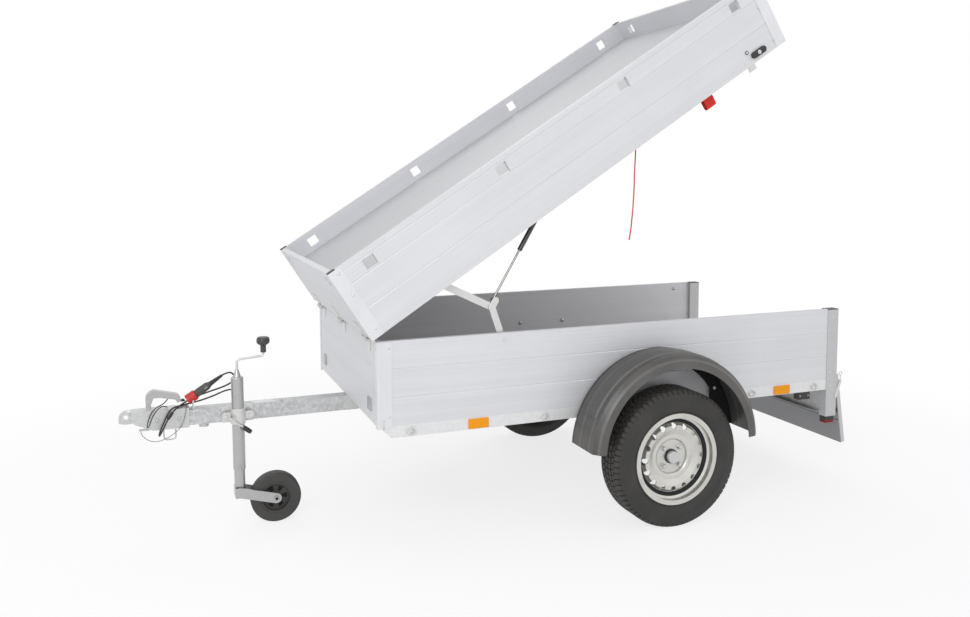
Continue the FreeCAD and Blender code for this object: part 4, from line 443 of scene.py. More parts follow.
@dataclass(frozen=True)
class RoadRubber:
    """Tyre rubber: near black, browner where road dust lies, with fine mould rings on the sides."""

    name: str
    tone: tuple[float, float, float, float] = colour(43, 42, 41)

    def build(self) -> bpy.types.Material:
        """Makes the material."""
        g = Graph(self.name)
        from_axle = g.where((1.0, 0.0, 1.0), centre=tuple(AXLE))
        reach = g.out(g.node("ShaderNodeVectorMath", {"operation": "LENGTH"}, {"Vector": from_axle}), "Value")
        rings = (reach * 2600.0).joined("SINE", reach * 2600.0) * 0.5 + 0.5
        side = 1.0 - reach.ramped(0.250, 0.262)
        grain = g.noise(g.where(), 500.0, 3.0)
        cloud = g.noise(g.where(), 11.0, 4.0).ramped(0.4, 0.8)
        tread = reach.ramped(0.262, 0.2735)
        dusted = g.blend(cloud * 0.4 + tread * 0.35, self.tone, colour(84, 80, 75))
        g.set(Base_Color=dusted, Roughness=0.62 + cloud * 0.2)
        g.bumped(grain * 0.55 + rings * side * 0.25, 0.00022, 0.6)
        return g.material


@dataclass(frozen=True)
class Lacquer:
    """Black enamel or polished rod, or near-black paint as painted shade in holes and gaps; smooth with a light draw
    line along its length.
    """

    name: str
    tone: tuple[float, float, float, float]
    roughness: float
    metallic: float
    coat: float = 0.0

    def build(self) -> bpy.types.Material:
        """Makes the material."""
        g = Graph(self.name)
        smear = g.noise(g.where(), 70.0, 3.0)
        fine = g.noise(g.where(), 90.0, 1.0)
        g.set(Base_Color=g.blend(smear, shade(self.tone, 0.9), shade(self.tone, 1.1)),
              Roughness=self.roughness + (smear - 0.5) * 0.12, Metallic=self.metallic)
        g.shader.inputs["Coat Weight"].default_value = self.coat
        g.bumped(fine, 0.00005, 0.4)
        return g.material


@dataclass(frozen=True)
class MeshPly:
    """Dark film faced plywood with a pressed wire mesh against slipping."""

    name: str
    tone: tuple[float, float, float, float] = colour(74, 56, 44)
    pitch: float = 0.005

    def build(self) -> bpy.types.Material:
        """Makes the material."""
        g = Graph(self.name)
        slant = g.where(turn=(0.0, 0.0, math.radians(45)))
        scale = math.tau / self.pitch / 20
        first = g.bands(slant, scale, "X")
        second = g.bands(slant, scale, "Y")
        mesh = (first * second).root()
        cloud = g.noise(g.where(), 4.0, 5.0).ramped(0.35, 0.75)
        g.set(Base_Color=g.blend(cloud * 0.5 + mesh * 0.3, self.tone, colour(104, 84, 68)),
              Roughness=0.5 + mesh * 0.15)
        g.bumped(mesh, 0.0006, 0.6)
        return g.material


@dataclass(frozen=True)
class PrismLens:
    """Moulded lens or reflector: glossy skin over rows of small prisms."""

    name: str
    tone: tuple[float, float, float, float]
    pitch: float = 0.0042

    def build(self) -> bpy.types.Material:
        """Makes the material."""
        g = Graph(self.name)
        scale = math.tau / self.pitch / 20
        cross = g.bands(g.where(), scale, "X") * g.bands(g.where(), scale, "Z")
        sides = g.bands(g.where(), scale, "Y") * g.bands(g.where(), scale, "Z")
        prisms = cross.joined("MAXIMUM", cross, sides)
        g.set(Base_Color=g.blend(prisms, shade(self.tone, 0.8), shade(self.tone, 1.15)), Roughness=0.24)
        g.shader.inputs["Coat Weight"].default_value = 0.08
        g.shader.inputs["Specular IOR Level"].default_value = 0.25
        g.bumped(prisms, 0.0004, 0.4)
        return g.material


@dataclass(frozen=True)
class Woven:
    """Webbing, braid or laid wire: crossing threads at one pitch."""

    name: str
    tone: tuple[float, float, float, float]
    pitch: float = 0.0016
    depth: float = 0.0003
    roughness: float = 0.72
    metallic: float = 0.0

    def build(self) -> bpy.types.Material:
        """Makes the material."""
        g = Graph(self.name)
        scale = math.tau / self.pitch / 20
        first = g.bands(g.where(turn=(0.0, math.radians(40), 0.0)), scale, "X")
        second = g.bands(g.where(turn=(0.0, math.radians(-40), 0.0)), scale, "Z")
        weave = first.joined("MAXIMUM", first, second)
        wear = g.noise(g.where(), 45.0, 3.0).ramped(0.4, 0.8)
        lit = g.blend(weave, shade(self.tone, 0.62), shade(self.tone, 1.12))
        g.set(Base_Color=g.blend(wear * 0.25, lit, shade(self.tone, 1.5)), Roughness=self.roughness,
              Metallic=self.metallic)
        g.bumped(weave, self.depth, 0.6)
        return g.material


class Finishes:
    """Every finish on the trailer, made once."""

    def __init__(self) -> None:
        """Builds the materials."""
        black, grey_dust = colour(38, 38, 40), colour(92, 90, 87)
        across = (0.0, 0.0, math.radians(90))
        sloped = (0.0, -LID_ANGLE, 0.0)
        self.side = RolledSheet("rolled_side").build()
        self.cross = RolledSheet("rolled_cross", turn=across).build()
        self.lid = RolledSheet("rolled_lid", turn=sloped).build()
        self.lid_cross = RolledSheet("rolled_lid_cross", turn=across).build()
        self.roof = RolledSheet("rolled_roof", colour(188, 189, 192), sloped, 0.5).build()
        # tailgate: the face past the plane x - 0.153 z = -2.957, turned forward under the box, is painted at half
        # brightness as painted shade
        self.gate = RolledSheet("rolled_gate", colour(196, 197, 200), across, 0.36, 0.6, (0.153, -2.957, 0.5)).build()
        self.trim = RolledSheet("drawn_trim", colour(220, 221, 224), (0.0, math.radians(90), 0.0), 0.42, 0.3).build()
        self.steel = Galvanised("dipped_zinc").build()
        self.small = Galvanised("plated_zinc", colour(200, 201, 201), 150.0, 0.06, 0.36, 0.6, 0.0001).build()
        self.tube = Galvanised("tube_zinc", colour(180, 181, 180), 130.0, 0.03, 0.3, 0.75, 0.00006).build()
        self.bright = Galvanised("bright_zinc", colour(212, 212, 211), 180.0, 0.03, 0.32, 0.55, 0.00006).build()
        self.post = Galvanised("post_zinc", colour(190, 191, 193), 120.0, 0.04, 0.4, 0.4, 0.0001).build()
        self.sill = Galvanised("sill_zinc", colour(222, 223, 224), 110.0, 0.05, 0.42, 0.3, 0.0002).build()
        self.rim = SprayedSteel("silver_paint").build()
        # mudguard: painted shade near black inside 0.553 from the middle, and painted highlights along the ridge edges
        # at 0.6105, 0.6835 and 0.7305
        self.guard = Moulded("guard_plastic", colour(72, 71, 70), colour(118, 115, 111), 1500.0, 0.0001, 0.4, 0.35,
                             0.553, (0.6105, 0.6835, 0.7305)).build()
        self.plastic = Moulded("black_plastic", black, grey_dust, 1900.0, 0.00008, 0.48, 0.15).build()
        self.knob = Moulded("knob_plastic", colour(62, 62, 61), grey_dust, 1900.0, 0.00006, 0.42, 0.2).build()
        self.plug = Moulded("plug_grip", colour(72, 69, 66), colour(104, 99, 93), 1600.0, 0.0001, 0.52, 0.3).build()
        self.solid_rubber = Moulded("jockey_rubber", colour(58, 57, 56), colour(92, 89, 84), 900.0, 0.00012, 0.66,
                                    0.4).build()
        self.cable = Moulded("cable_sheath", colour(36, 35, 35), colour(70, 68, 66), 2400.0, 0.00005, 0.5, 0.2).build()
        self.tyre = RoadRubber("tread_rubber").build()
        self.gloss = Lacquer("gas_spring_black", colour(28, 28, 30), 0.2, 0.0, 0.6).build()
        self.rod = Lacquer("hard_chrome", colour(150, 147, 144), 0.18, 1.0).build()
        # near-black paint put in holes, slots and gaps: painted shade
        self.painted_shade = Lacquer("painted_hollow_shade", colour(20, 20, 21), 0.8, 0.0).build()
        self.ply = MeshPly("mesh_ply").build()
        self.red = PrismLens("red_prisms", colour(132, 20, 16)).build()
        self.orange = PrismLens("orange_prisms", colour(246, 158, 0)).build()
        self.clear = PrismLens("grey_prisms", colour(170, 171, 173)).build()
        self.socket_red = Moulded("socket_red", colour(190, 40, 32), colour(208, 74, 64), 1700.0, 0.00006, 0.4,
                                  0.2).build()
        self.webbing = Woven("red_webbing", colour(214, 40, 26), 0.0018, 0.0003).build()
        self.cord = Woven("red_braid", colour(206, 58, 46), 0.0014, 0.0002).build()
        self.rope = Woven("black_braid", colour(46, 45, 44), 0.0016, 0.0003, 0.6).build()
        self.strand = Woven("wire_strand", colour(150, 150, 150), 0.0016, 0.0003, 0.35, 0.8).build()


class Studio:
    """Pale floor, soft lights, white surround and the photograph's camera."""

    image: tuple[int, int] = (970, 617)
    yaw: float = 0.350851
    pitch: float = 0.087110
    roll: float = -0.0057364
    focal: float = 873.21
    centre: tuple[float, float] = (463.222, 250.969)
    eye: Triple = (-0.085876, 3.539017, 0.927903)
    film: float = 36.0
    middle: Triple = (-1.6, 0.0, 0.2)
    fill: float = 0.72
    floor_reach: float = 30.0
    shadow_veil: float = 0.78
    lamps: Sequence[tuple[Triple, float, float]] = (((2.2, 4.8, 3.6), 3.2, 125.0), ((-4.8, 3.6, 3.2), 3.0, 10.0),
                                                    ((-1.2, -3.4, 4.6), 3.0, 40.0), ((0.4, 5.0, 1.9), 1.6, 22.0))

    def camera(self) -> None:
        """Stands the camera where the photograph was taken."""
        ahead = Vector((-math.sin(self.yaw) * math.cos(self.pitch), -math.cos(self.yaw) * math.cos(self.pitch),
                        -math.sin(self.pitch)))
        right = ahead.cross(Vector((0, 0, 1))).normalized()
        up = right.cross(ahead)
        cosine, sine = math.cos(self.roll), math.sin(self.roll)
        right, up = right * cosine + up * sine, up * cosine - right * sine
        data = bpy.data.cameras.new("camera")
        taken = bpy.data.objects.new("camera", data)
        bpy.context.scene.collection.objects.link(taken)
        width, height = self.image
        data.sensor_width = self.film
        data.lens = self.focal * self.film / width
        data.shift_x = (width / 2 - self.centre[0]) / width
        data.shift_y = (self.centre[1] - height / 2) / width
        data.clip_end = 200.0
        taken.matrix_world = Matrix(((right.x, up.x, -ahead.x, self.eye[0]), (right.y, up.y, -ahead.y, self.eye[1]),
                                     (right.z, up.z, -ahead.z, self.eye[2]), (0, 0, 0, 1)))
        bpy.context.scene.camera = taken
        bpy.context.scene.view_settings.view_transform = "Standard"

    def surround(self) -> None:
        """A white surround that lights the trailer less than it shows."""
        world = bpy.data.worlds.new("studio")
        bpy.context.scene.world = world
        world.use_nodes = True
        tree = world.node_tree
        tree.nodes.clear()
        path = tree.nodes.new("ShaderNodeLightPath")
        camera = Wire(tree, path.outputs["Is Camera Ray"])
        glossy = Wire(tree, path.outputs["Is Glossy Ray"])
        through = Wire(tree, path.outputs["Is Transmission Ray"])
        seen = (camera + glossy + through).held()
        mixed = tree.nodes.new("ShaderNodeMixShader")
        tree.links.new(seen.socket, mixed.inputs[0])
        for number, strength in ((1, self.fill), (2, 1.0)):
            light = tree.nodes.new("ShaderNodeBackground")
            light.inputs["Color"].default_value = (1.0, 1.0, 1.0, 1.0)
            light.inputs["Strength"].default_value = strength
            tree.links.new(light.outputs[0], mixed.inputs[number])
        out = tree.nodes.new("ShaderNodeOutputWorld")
        tree.links.new(mixed.outputs[0], out.inputs["Surface"])

    def lights(self) -> None:
        """Hangs the soft boxes."""
        for place, size, power in self.lamps:
            data = bpy.data.lights.new("soft_box", "AREA")
            data.size = size
            data.energy = power
            lamp = bpy.data.objects.new("soft_box", data)
            bpy.context.scene.collection.objects.link(lamp)
            lamp.location = place
            lamp.rotation_mode = "QUATERNION"
            lamp.rotation_quaternion = (Vector(self.middle) - Vector(place)).to_track_quat("-Z", "Y")

    def floor(self) -> None:
        """Lays a floor that keeps the shadow and fades to white farther out."""
        Bench.clear()
        bpy.ops.mesh.primitive_plane_add(size=2 * self.floor_reach, location=(self.middle[0], 0.0, GROUND))
        laid = bpy.context.object
        laid.name = "floor"
        g = Graph("floor_white")
        g.set(Base_Color=(0.93, 0.93, 0.93, 1.0), Roughness=0.95)
        g.shader.inputs["Specular IOR Level"].default_value = 0.0
        from_middle = g.where((1.0, 1.0, 0.0))
        reach = g.out(g.node("ShaderNodeVectorMath", {"operation": "LENGTH"}, {"Vector": from_middle}), "Value")
        glow = g.node("ShaderNodeEmission", {}, {"Color": (1.0, 1.0, 1.0, 1.0), "Strength": 1.0})
        path = g.node("ShaderNodeLightPath", {}, {})
        seen = (g.out(path, "Is Camera Ray") + g.out(path, "Is Glossy Ray") + g.out(path, "Is Transmission Ray")).held()
        pale = reach.ramped(1.9, 3.4) * (1.0 - self.shadow_veil) + self.shadow_veil
        mixed = g.node("ShaderNodeMixShader", {}, {"Fac": pale * seen})
        g.tree.links.new(g.shader.outputs[0], mixed.inputs[1])
        g.tree.links.new(glow.outputs[0], mixed.inputs[2])
        g.tree.links.new(mixed.outputs[0], g.tree.nodes["Material Output"].inputs["Surface"])
        laid.data.materials.append(g.material)

    def build(self) -> None:
        """Makes the whole studio."""
        self.camera()
        self.surround()
        self.lights()
        self.floor()


class Bench:
    """The moves that pieces are modelled with, each one of Blender's own operators."""

    @staticmethod
    def clear() -> None:
        """Leaves edit mode and deselects everything."""
        if bpy.context.object is not None and bpy.context.object.mode != "OBJECT":
            bpy.ops.object.mode_set(mode="OBJECT")
        bpy.ops.object.select_all(action="DESELECT")

    @staticmethod
    def take(*pieces: bpy.types.Object) -> None:
        """Selects these pieces alone; the first is the active one."""
        Bench.clear()
        for piece in pieces:
            piece.select_set(True)
        bpy.context.view_layer.objects.active = pieces[0]

    @staticmethod
    def edit(piece: bpy.types.Object, element: Element = Element.FACES) -> None:
        """Goes into edit mode on a piece."""
        Bench.take(piece)
        bpy.ops.object.mode_set(mode="EDIT")
        bpy.ops.mesh.select_mode(type=element.value)

    @staticmethod
    def pick(piece: bpy.types.Object, element: Element, test: Callable[[Vector, Vector], bool]) -> int:
        """Selects, in edit mode, what passes a test of its centre and normal.

        Args:
            piece: The mesh object.
            element: What the selection is made of.
            test: Gets a centre and a normal; edges get their direction as the second.

        Returns:
            How many were selected.
        """
        Bench.edit(piece, element)
        bpy.ops.mesh.select_all(action="DESELECT")
        bpy.ops.object.mode_set(mode="OBJECT")
        mesh = piece.data
        count = 0
        if element is Element.FACES:
            for face in mesh.polygons:
                face.select = bool(test(face.center, face.normal))
                count += face.select
        elif element is Element.EDGES:
            for edge in mesh.edges:
                first, second = (mesh.vertices[number].co for number in edge.vertices)
                edge.select = bool(test((first + second) / 2, (second - first).normalized()))
                count += edge.select
        else:
            for point in mesh.vertices:
                point.select = bool(test(point.co, point.normal))
                count += point.select
        bpy.ops.object.mode_set(mode="EDIT")
        return count

    @staticmethod
    def outward(piece: bpy.types.Object) -> None:
        """Merges doubles and turns every face outwards."""
        Bench.edit(piece)
        bpy.ops.mesh.select_all(action="SELECT")
        bpy.ops.mesh.remove_doubles(threshold=0.00001)
        bpy.ops.mesh.normals_make_consistent(inside=False)
        bpy.ops.object.mode_set(mode="OBJECT")

    @staticmethod
    def stack(name: str, steps: Sequence[tuple[float, float]], sides: int = 24, turn: float = 0.0) -> bpy.types.Object:
        """Draws a turned form up from a circle, one extrusion a step.

        Args:
            name: The piece's name.
            steps: Radius and height of each ring, from the foot up.
            sides: Faces round the form; six make a hexagon.
            turn: The turn of its first corner, in radians.

        Returns:
            The closed form, standing on its origin along Z.
        """
        Bench.clear()
        radius, height = steps[0]
        bpy.ops.mesh.primitive_circle_add(vertices=sides, radius=radius, fill_type="NGON", location=(0, 0, height),
                                          rotation=(0, 0, turn))
        piece = bpy.context.object
        piece.name = name
        bpy.ops.object.transform_apply(location=True, rotation=True, scale=True)
        Bench.edit(piece)
        bpy.ops.mesh.select_all(action="SELECT")
        for wide, high in steps[1:]:
            bpy.ops.mesh.extrude_region_move(TRANSFORM_OT_translate={"value": (0, 0, high - height)})
            if abs(wide / radius - 1) > 1e-6:
                bpy.ops.transform.resize(value=(wide / radius, wide / radius, 1), center_override=(0, 0, high))
            radius, height = wide, high
        bpy.ops.object.mode_set(mode="OBJECT")
        Bench.outward(piece)
        return piece

    @staticmethod
    def hoop(name: str, loop: Sequence[tuple[float, float]], steps: int = 64) -> bpy.types.Object:
        """Spins a closed section round Z.

        Args:
            name: The piece's name.
            loop: Radius and height of each corner of the section.
            steps: How many faces go round.

        Returns:
            The closed ring.
        """
        Bench.clear()
        bpy.ops.mesh.primitive_plane_add(size=0.01)
        piece = bpy.context.object
        piece.name = name
        Bench.edit(piece, Element.POINTS)
        bpy.ops.mesh.select_all(action="SELECT")
        bpy.ops.mesh.merge(type="CENTER")
        bpy.ops.transform.translate(value=(loop[0][0], 0, loop[0][1]))
        for (reach, height), (reach_on, height_on) in zip(loop, [*loop[1:], loop[0]]):
            step = {"value": (reach_on - reach, 0, height_on - height)}
            bpy.ops.mesh.extrude_region_move(TRANSFORM_OT_translate=step)
        bpy.ops.mesh.select_all(action="SELECT")
        bpy.ops.mesh.remove_doubles(threshold=0.00001)
        bpy.ops.mesh.spin(steps=steps, angle=math.tau, center=(0, 0, 0), axis=(0, 0, 1))
        bpy.ops.object.mode_set(mode="OBJECT")
        Bench.outward(piece)
        return piece

    @staticmethod
    def slab(name: str, low: Point, high: Point, edge: float, segments: int = 2) -> bpy.types.Object:
        """Draws a block between two corners and rounds its edges.

        Args:
            name: The piece's name.
            low: Its lowest corner.
            high: Its highest corner.
            edge: The width of the rounding.
            segments: How many faces the rounding has.

        Returns:
            The block.
        """
        Bench.clear()
        low, high = Vector(low), Vector(high)
        bpy.ops.mesh.primitive_cube_add(size=1.0, location=(low + high) / 2)
        piece = bpy.context.object
        piece.name = name
        piece.scale = high - low
        bpy.ops.object.transform_apply(location=True, rotation=True, scale=True)
        Bench.edit(piece, Element.EDGES)
        bpy.ops.mesh.select_all(action="SELECT")
        bpy.ops.mesh.bevel(offset=edge, segments=segments, affect="EDGES")
        bpy.ops.object.mode_set(mode="OBJECT")
        Bench.outward(piece)
        return piece

    @staticmethod
    def aimed(place: Point, along: Point, spin: float = 0.0) -> Matrix:
        """The move that stands a form's Z axis along a direction at a place."""
        turn = Vector(along).to_track_quat("Z", "Y").to_matrix().to_4x4()
        return Matrix.Translation(Vector(place)) @ turn @ Matrix.Rotation(spin, 4, "Z")

    @staticmethod
    def set_down(piece: bpy.types.Object, move: Matrix) -> bpy.types.Object:
        """Moves a piece and applies it, so that its place is in its mesh."""
        Bench.take(piece)
        piece.matrix_world = move
        bpy.context.view_layer.update()
        bpy.ops.object.transform_apply(location=True, rotation=True, scale=True)
        return piece

    @staticmethod
    def spread(master: bpy.types.Object, name: str, moves: Iterable[Matrix]) -> bpy.types.Object:
        """Copies a form to many places, each copy with its own mesh, and joins them.

        Args:
            master: The form, which becomes the first copy.
            name: The joined piece's name.
            moves: Where the copies go.

        Returns:
            The joined piece.
        """
        moves = list(moves)
        copies = []
        for move in moves[1:]:
            twin = master.copy()
            twin.data = master.data.copy()
            bpy.context.scene.collection.objects.link(twin)
            copies.append(Bench.set_down(twin, move))
        Bench.set_down(master, moves[0])
        return Bench.joined(name, master, *copies)

    @staticmethod
    def joined(name: str, *pieces: bpy.types.Object) -> bpy.types.Object:
        """Joins pieces into the first."""
        Bench.take(*pieces)
        if len(pieces) > 1:
            bpy.ops.object.join()
        pieces[0].name = name
        return pieces[0]

    @staticmethod
    def smooth(piece: bpy.types.Object, angle: float = 32.0) -> None:
        """Shades a piece smooth, but for edges sharper than an angle."""
        Bench.take(piece)
        bpy.ops.object.shade_smooth_by_angle(angle=math.radians(angle))

    @staticmethod
    def softened(piece: bpy.types.Object, width: float, segments: int = 2, angle: float = 30.0) -> None:
        """Rounds a piece's sharp edges with a bevel that is then applied."""
        Bench.take(piece)
        bevel = piece.modifiers.new("edges", "BEVEL")
        bevel.width = width
        bevel.segments = segments
        bevel.limit_method = "ANGLE"
        bevel.angle_limit = math.radians(angle)
        bpy.ops.object.modifier_apply(modifier=bevel.name)

    @staticmethod
    def lifted(piece: bpy.types.Object) -> bpy.types.Object:
        """Swings what was modelled on the closed lid up to where the lid stands open."""
        swing = (Matrix.Translation(LID_PIN) @ Matrix.Rotation(LID_ANGLE, 4, "Y") @ Matrix.Translation(-LID_PIN))
        return Bench.set_down(piece, swing)


def handed(piece: bpy.types.Object, body: str, finish: bpy.types.Material) -> bpy.types.Object:
    """Dresses a finished piece and lets it ride on its body.

    Args:
        piece: The finished piece.
        body: The CAD body that carries it.
        finish: Its material.

    Returns:
        The piece.
    """
    piece.data.materials.clear()
    piece.data.materials.append(finish)
    if piece.type == "MESH":
        Bench.smooth(piece)
    Bench.clear()
    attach(piece, body)
    LOG.info("%s rides on %s", piece.name, body)
    return piece


class Dress:
    """Gives every carried-over CAD node its finish."""

    def __init__(self, finishes: Finishes) -> None:
        """Notes the finish of each node.

        Args:
            finishes: The trailer's finishes.
        """
        f = finishes
        self.table: dict[str, bpy.types.Material] = {
            "side_walls": f.side, "front_wall": f.cross, "tailgate": f.gate, "lid_side_walls": f.lid,
            "lid_end_walls": f.lid_cross, "lid_roof": f.roof, "front_corner_trims": f.trim, "lid_corner_trims": f.trim,
            "floor_panel": f.ply, "drawbar": f.steel, "cross_members": f.steel, "axle_beam": f.steel,
            "trailing_arms": f.steel, "side_sills": f.sill, "rear_posts": f.post, "lamp_bar": f.steel,
            "mudguards": f.guard, "left_wheel": f.rim, "right_wheel": f.rim, "jockey_tyre": f.solid_rubber,
            "jockey_hub": f.solid_rubber, "rear_lamp_lenses": f.red, "side_reflectors": f.orange,
            "front_reflectors": f.clear, "left_strut_cylinder": f.gloss, "right_strut_cylinder": f.gloss,
            "left_strut_rod": f.rod, "right_strut_rod": f.rod, "coupling_handle": f.tube, "jockey_crank": f.bright,
            "coupling_head": f.small, "drawbar_fittings": f.small, "jockey_clamp": f.bright, "jockey_tube": f.tube,
            "jockey_leg": f.tube, "lashing_eyes": f.bright, "gate_latches": f.bright, "box_hinges": f.bright,
            "lid_hinges": f.bright, "left_upper_link": f.bright, "right_upper_link": f.bright,
            "left_lower_link": f.bright, "right_lower_link": f.bright,
        }
        self.by_slot: dict[str, bpy.types.Material] = {
            Slot.STEEL.value: f.small, Slot.PANEL.value: f.side, Slot.PLASTIC.value: f.plastic,
            Slot.RUBBER.value: f.solid_rubber, Slot.TYRE.value: f.tyre, Slot.GLOSS.value: f.gloss,
            Slot.ROD.value: f.rod, Slot.PLY.value: f.ply, Slot.RED_LENS.value: f.red,
            Slot.ORANGE_LENS.value: f.orange, Slot.CLEAR.value: f.clear, Slot.CABLE.value: f.cable,
            Slot.WIRE.value: f.strand, Slot.WEBBING.value: f.webbing,
        }

    def build(self) -> None:
        """Assigns the finishes to the nodes' material slots."""
        for row in frame["record"]["subparts"]:
            node = frame["nodes"][row["node"]]
            node.data.materials.clear()
            node.data.materials.append(self.table.get(row["node"], self.by_slot[row["material_slot"]]))
            LOG.info("node %s dressed", row["node"])


@dataclass
class Cord:
    """One free cord, wire or rope, laid as a smooth line through its route's points."""

    name: str
    node: str
    body: str
    slot: Slot
    radius: float
    length: float
    far_end: str
    stiffness: str
    lay: str
    route: Sequence[Triple]
    steps: int = 10

    def build(self, finish: bpy.types.Material, with_pieces: Sequence[bpy.types.Object] = ()) -> bpy.types.Object:
        """Args:
            finish: Its material.
            with_pieces: Not used.

        Returns:
            The cord's curve object.
        """
        curve = bpy.data.curves.new(self.name, "CURVE")
        curve.dimensions = "3D"
        curve.bevel_depth = self.radius
        curve.bevel_resolution = 4
        curve.use_fill_caps = True
        curve.resolution_u = self.steps
        spline = curve.splines.new("NURBS")
        spline.points.add(len(self.route) - 1)
        for point, place in zip(spline.points, self.route):
            point.co = (*place, 1.0)
        spline.order_u = 3
        spline.use_endpoint_u = True
        laid = bpy.data.objects.new(self.name, curve)
        bpy.context.scene.collection.objects.link(laid)
        handed(laid, self.body, finish)
        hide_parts(self.node)
        2 * self.radius
        return laid


@dataclass
class Tyre:
    """A road tyre with grooves, shoulder slots and tread blocks, standing for one CAD tyre."""

    side: int
    width_centre: float = 0.640
    pitches: int = 72
    steps_per_pitch: int = 6
    groove_scale: float = 0.980
    half: Sequence[tuple[float, float]] = (
        (0.0, 0.2735), (0.0035, 0.2735), (0.0190, 0.2735), (0.0260, 0.2735), (0.0400, 0.2735), (0.0430, 0.2735),
        (0.0500, 0.2735), (0.0555, 0.2712), (0.0599, 0.2677), (0.0635, 0.2632), (0.0660, 0.2580), (0.0672, 0.2540),
        (0.0686, 0.2495), (0.0695, 0.2460), (0.0706, 0.2425), (0.0716, 0.2390), (0.0723, 0.2365), (0.0732, 0.2335),
        (0.0756, 0.2265), (0.0763, 0.2220), (0.0757, 0.2175), (0.0745, 0.2130), (0.0712, 0.2045), (0.0666, 0.1965),
        (0.0609, 0.1893), (0.0577, 0.1860), (0.0570, 0.1700), (0.0467, 0.1690), (0.0533, 0.1860), (0.0599, 0.2040),
        (0.0665, 0.2220), (0.0608, 0.2345), (0.0550, 0.2470), (0.0, 0.2470),
    )

    def outline(self) -> list[Vector]:
        """The whole section in the plane through the axle, from half of it."""
        near = [(across, reach) for across, reach in self.half]
        far = [(-across, reach) for across, reach in reversed(self.half[1:-1])]
        middle = self.side * self.width_centre
        return [Vector((AXLE.x, middle + across, AXLE.z + reach)) for across, reach in near + far]

    def share(self, place: Vector) -> tuple[int, float, float]:
        """Which step of its pitch a face lies on, how far it is from the middle, and its reach."""
        turn = math.atan2(place.x - AXLE.x, place.z - AXLE.z) % math.tau
        step = int(turn / math.tau * self.pitches * self.steps_per_pitch) % self.steps_per_pitch
        across = abs(place.y - self.side * self.width_centre)
        return step, across, math.hypot(place.x - AXLE.x, place.z - AXLE.z)

    def is_groove(self, place: Vector) -> bool:
        """Whether a face of the smooth tyre is sunk: a groove round it, or a slot across it."""
        step, across, reach = self.share(place)
        if reach < 0.2575:
            return False
        ring = across < 0.0035 or 0.0190 < across < 0.0260 or 0.0400 < across < 0.0430
        shoulder = step == 0 and across > 0.0430
        rib = step == 3 and 0.0260 < across < 0.0400
        middle = step == 5 and 0.0035 < across < 0.0190
        return ring or shoulder or rib or middle

    def build(self, finishes: Finishes) -> None:
        """Spins the section, sinks the tread's grooves and dresses the tyre."""
        name = "left" if self.side > 0 else "right"
        outline = self.outline()
        Bench.clear()
        bpy.ops.mesh.primitive_circle_add(vertices=len(outline), radius=0.1, fill_type="NOTHING")
        tyre = bpy.context.object
        bpy.ops.object.transform_apply(location=True, rotation=True, scale=True)
        for point, place in zip(tyre.data.vertices, outline):
            point.co = place
        Bench.edit(tyre, Element.EDGES)
        bpy.ops.mesh.select_all(action="SELECT")
        bpy.ops.mesh.spin(steps=self.pitches * self.steps_per_pitch, angle=math.tau, center=tuple(AXLE),
                          axis=(0, 1, 0))
        bpy.ops.object.mode_set(mode="OBJECT")
        Bench.outward(tyre)
        Bench.pick(tyre, Element.FACES, lambda centre, normal: self.is_groove(centre))
        bpy.ops.mesh.extrude_region_move(TRANSFORM_OT_translate={"value": (0, 0, 0)})
        bpy.ops.transform.resize(value=(self.groove_scale, 1, self.groove_scale), center_override=tuple(AXLE))
        bpy.ops.object.mode_set(mode="OBJECT")
        tyre.name = f"{name}_treaded_tyre"
        handed(tyre, f"{name}_road_wheel", finishes.tyre)
        Bench.smooth(tyre, 24.0)
        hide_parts(f"{name}_tyre")


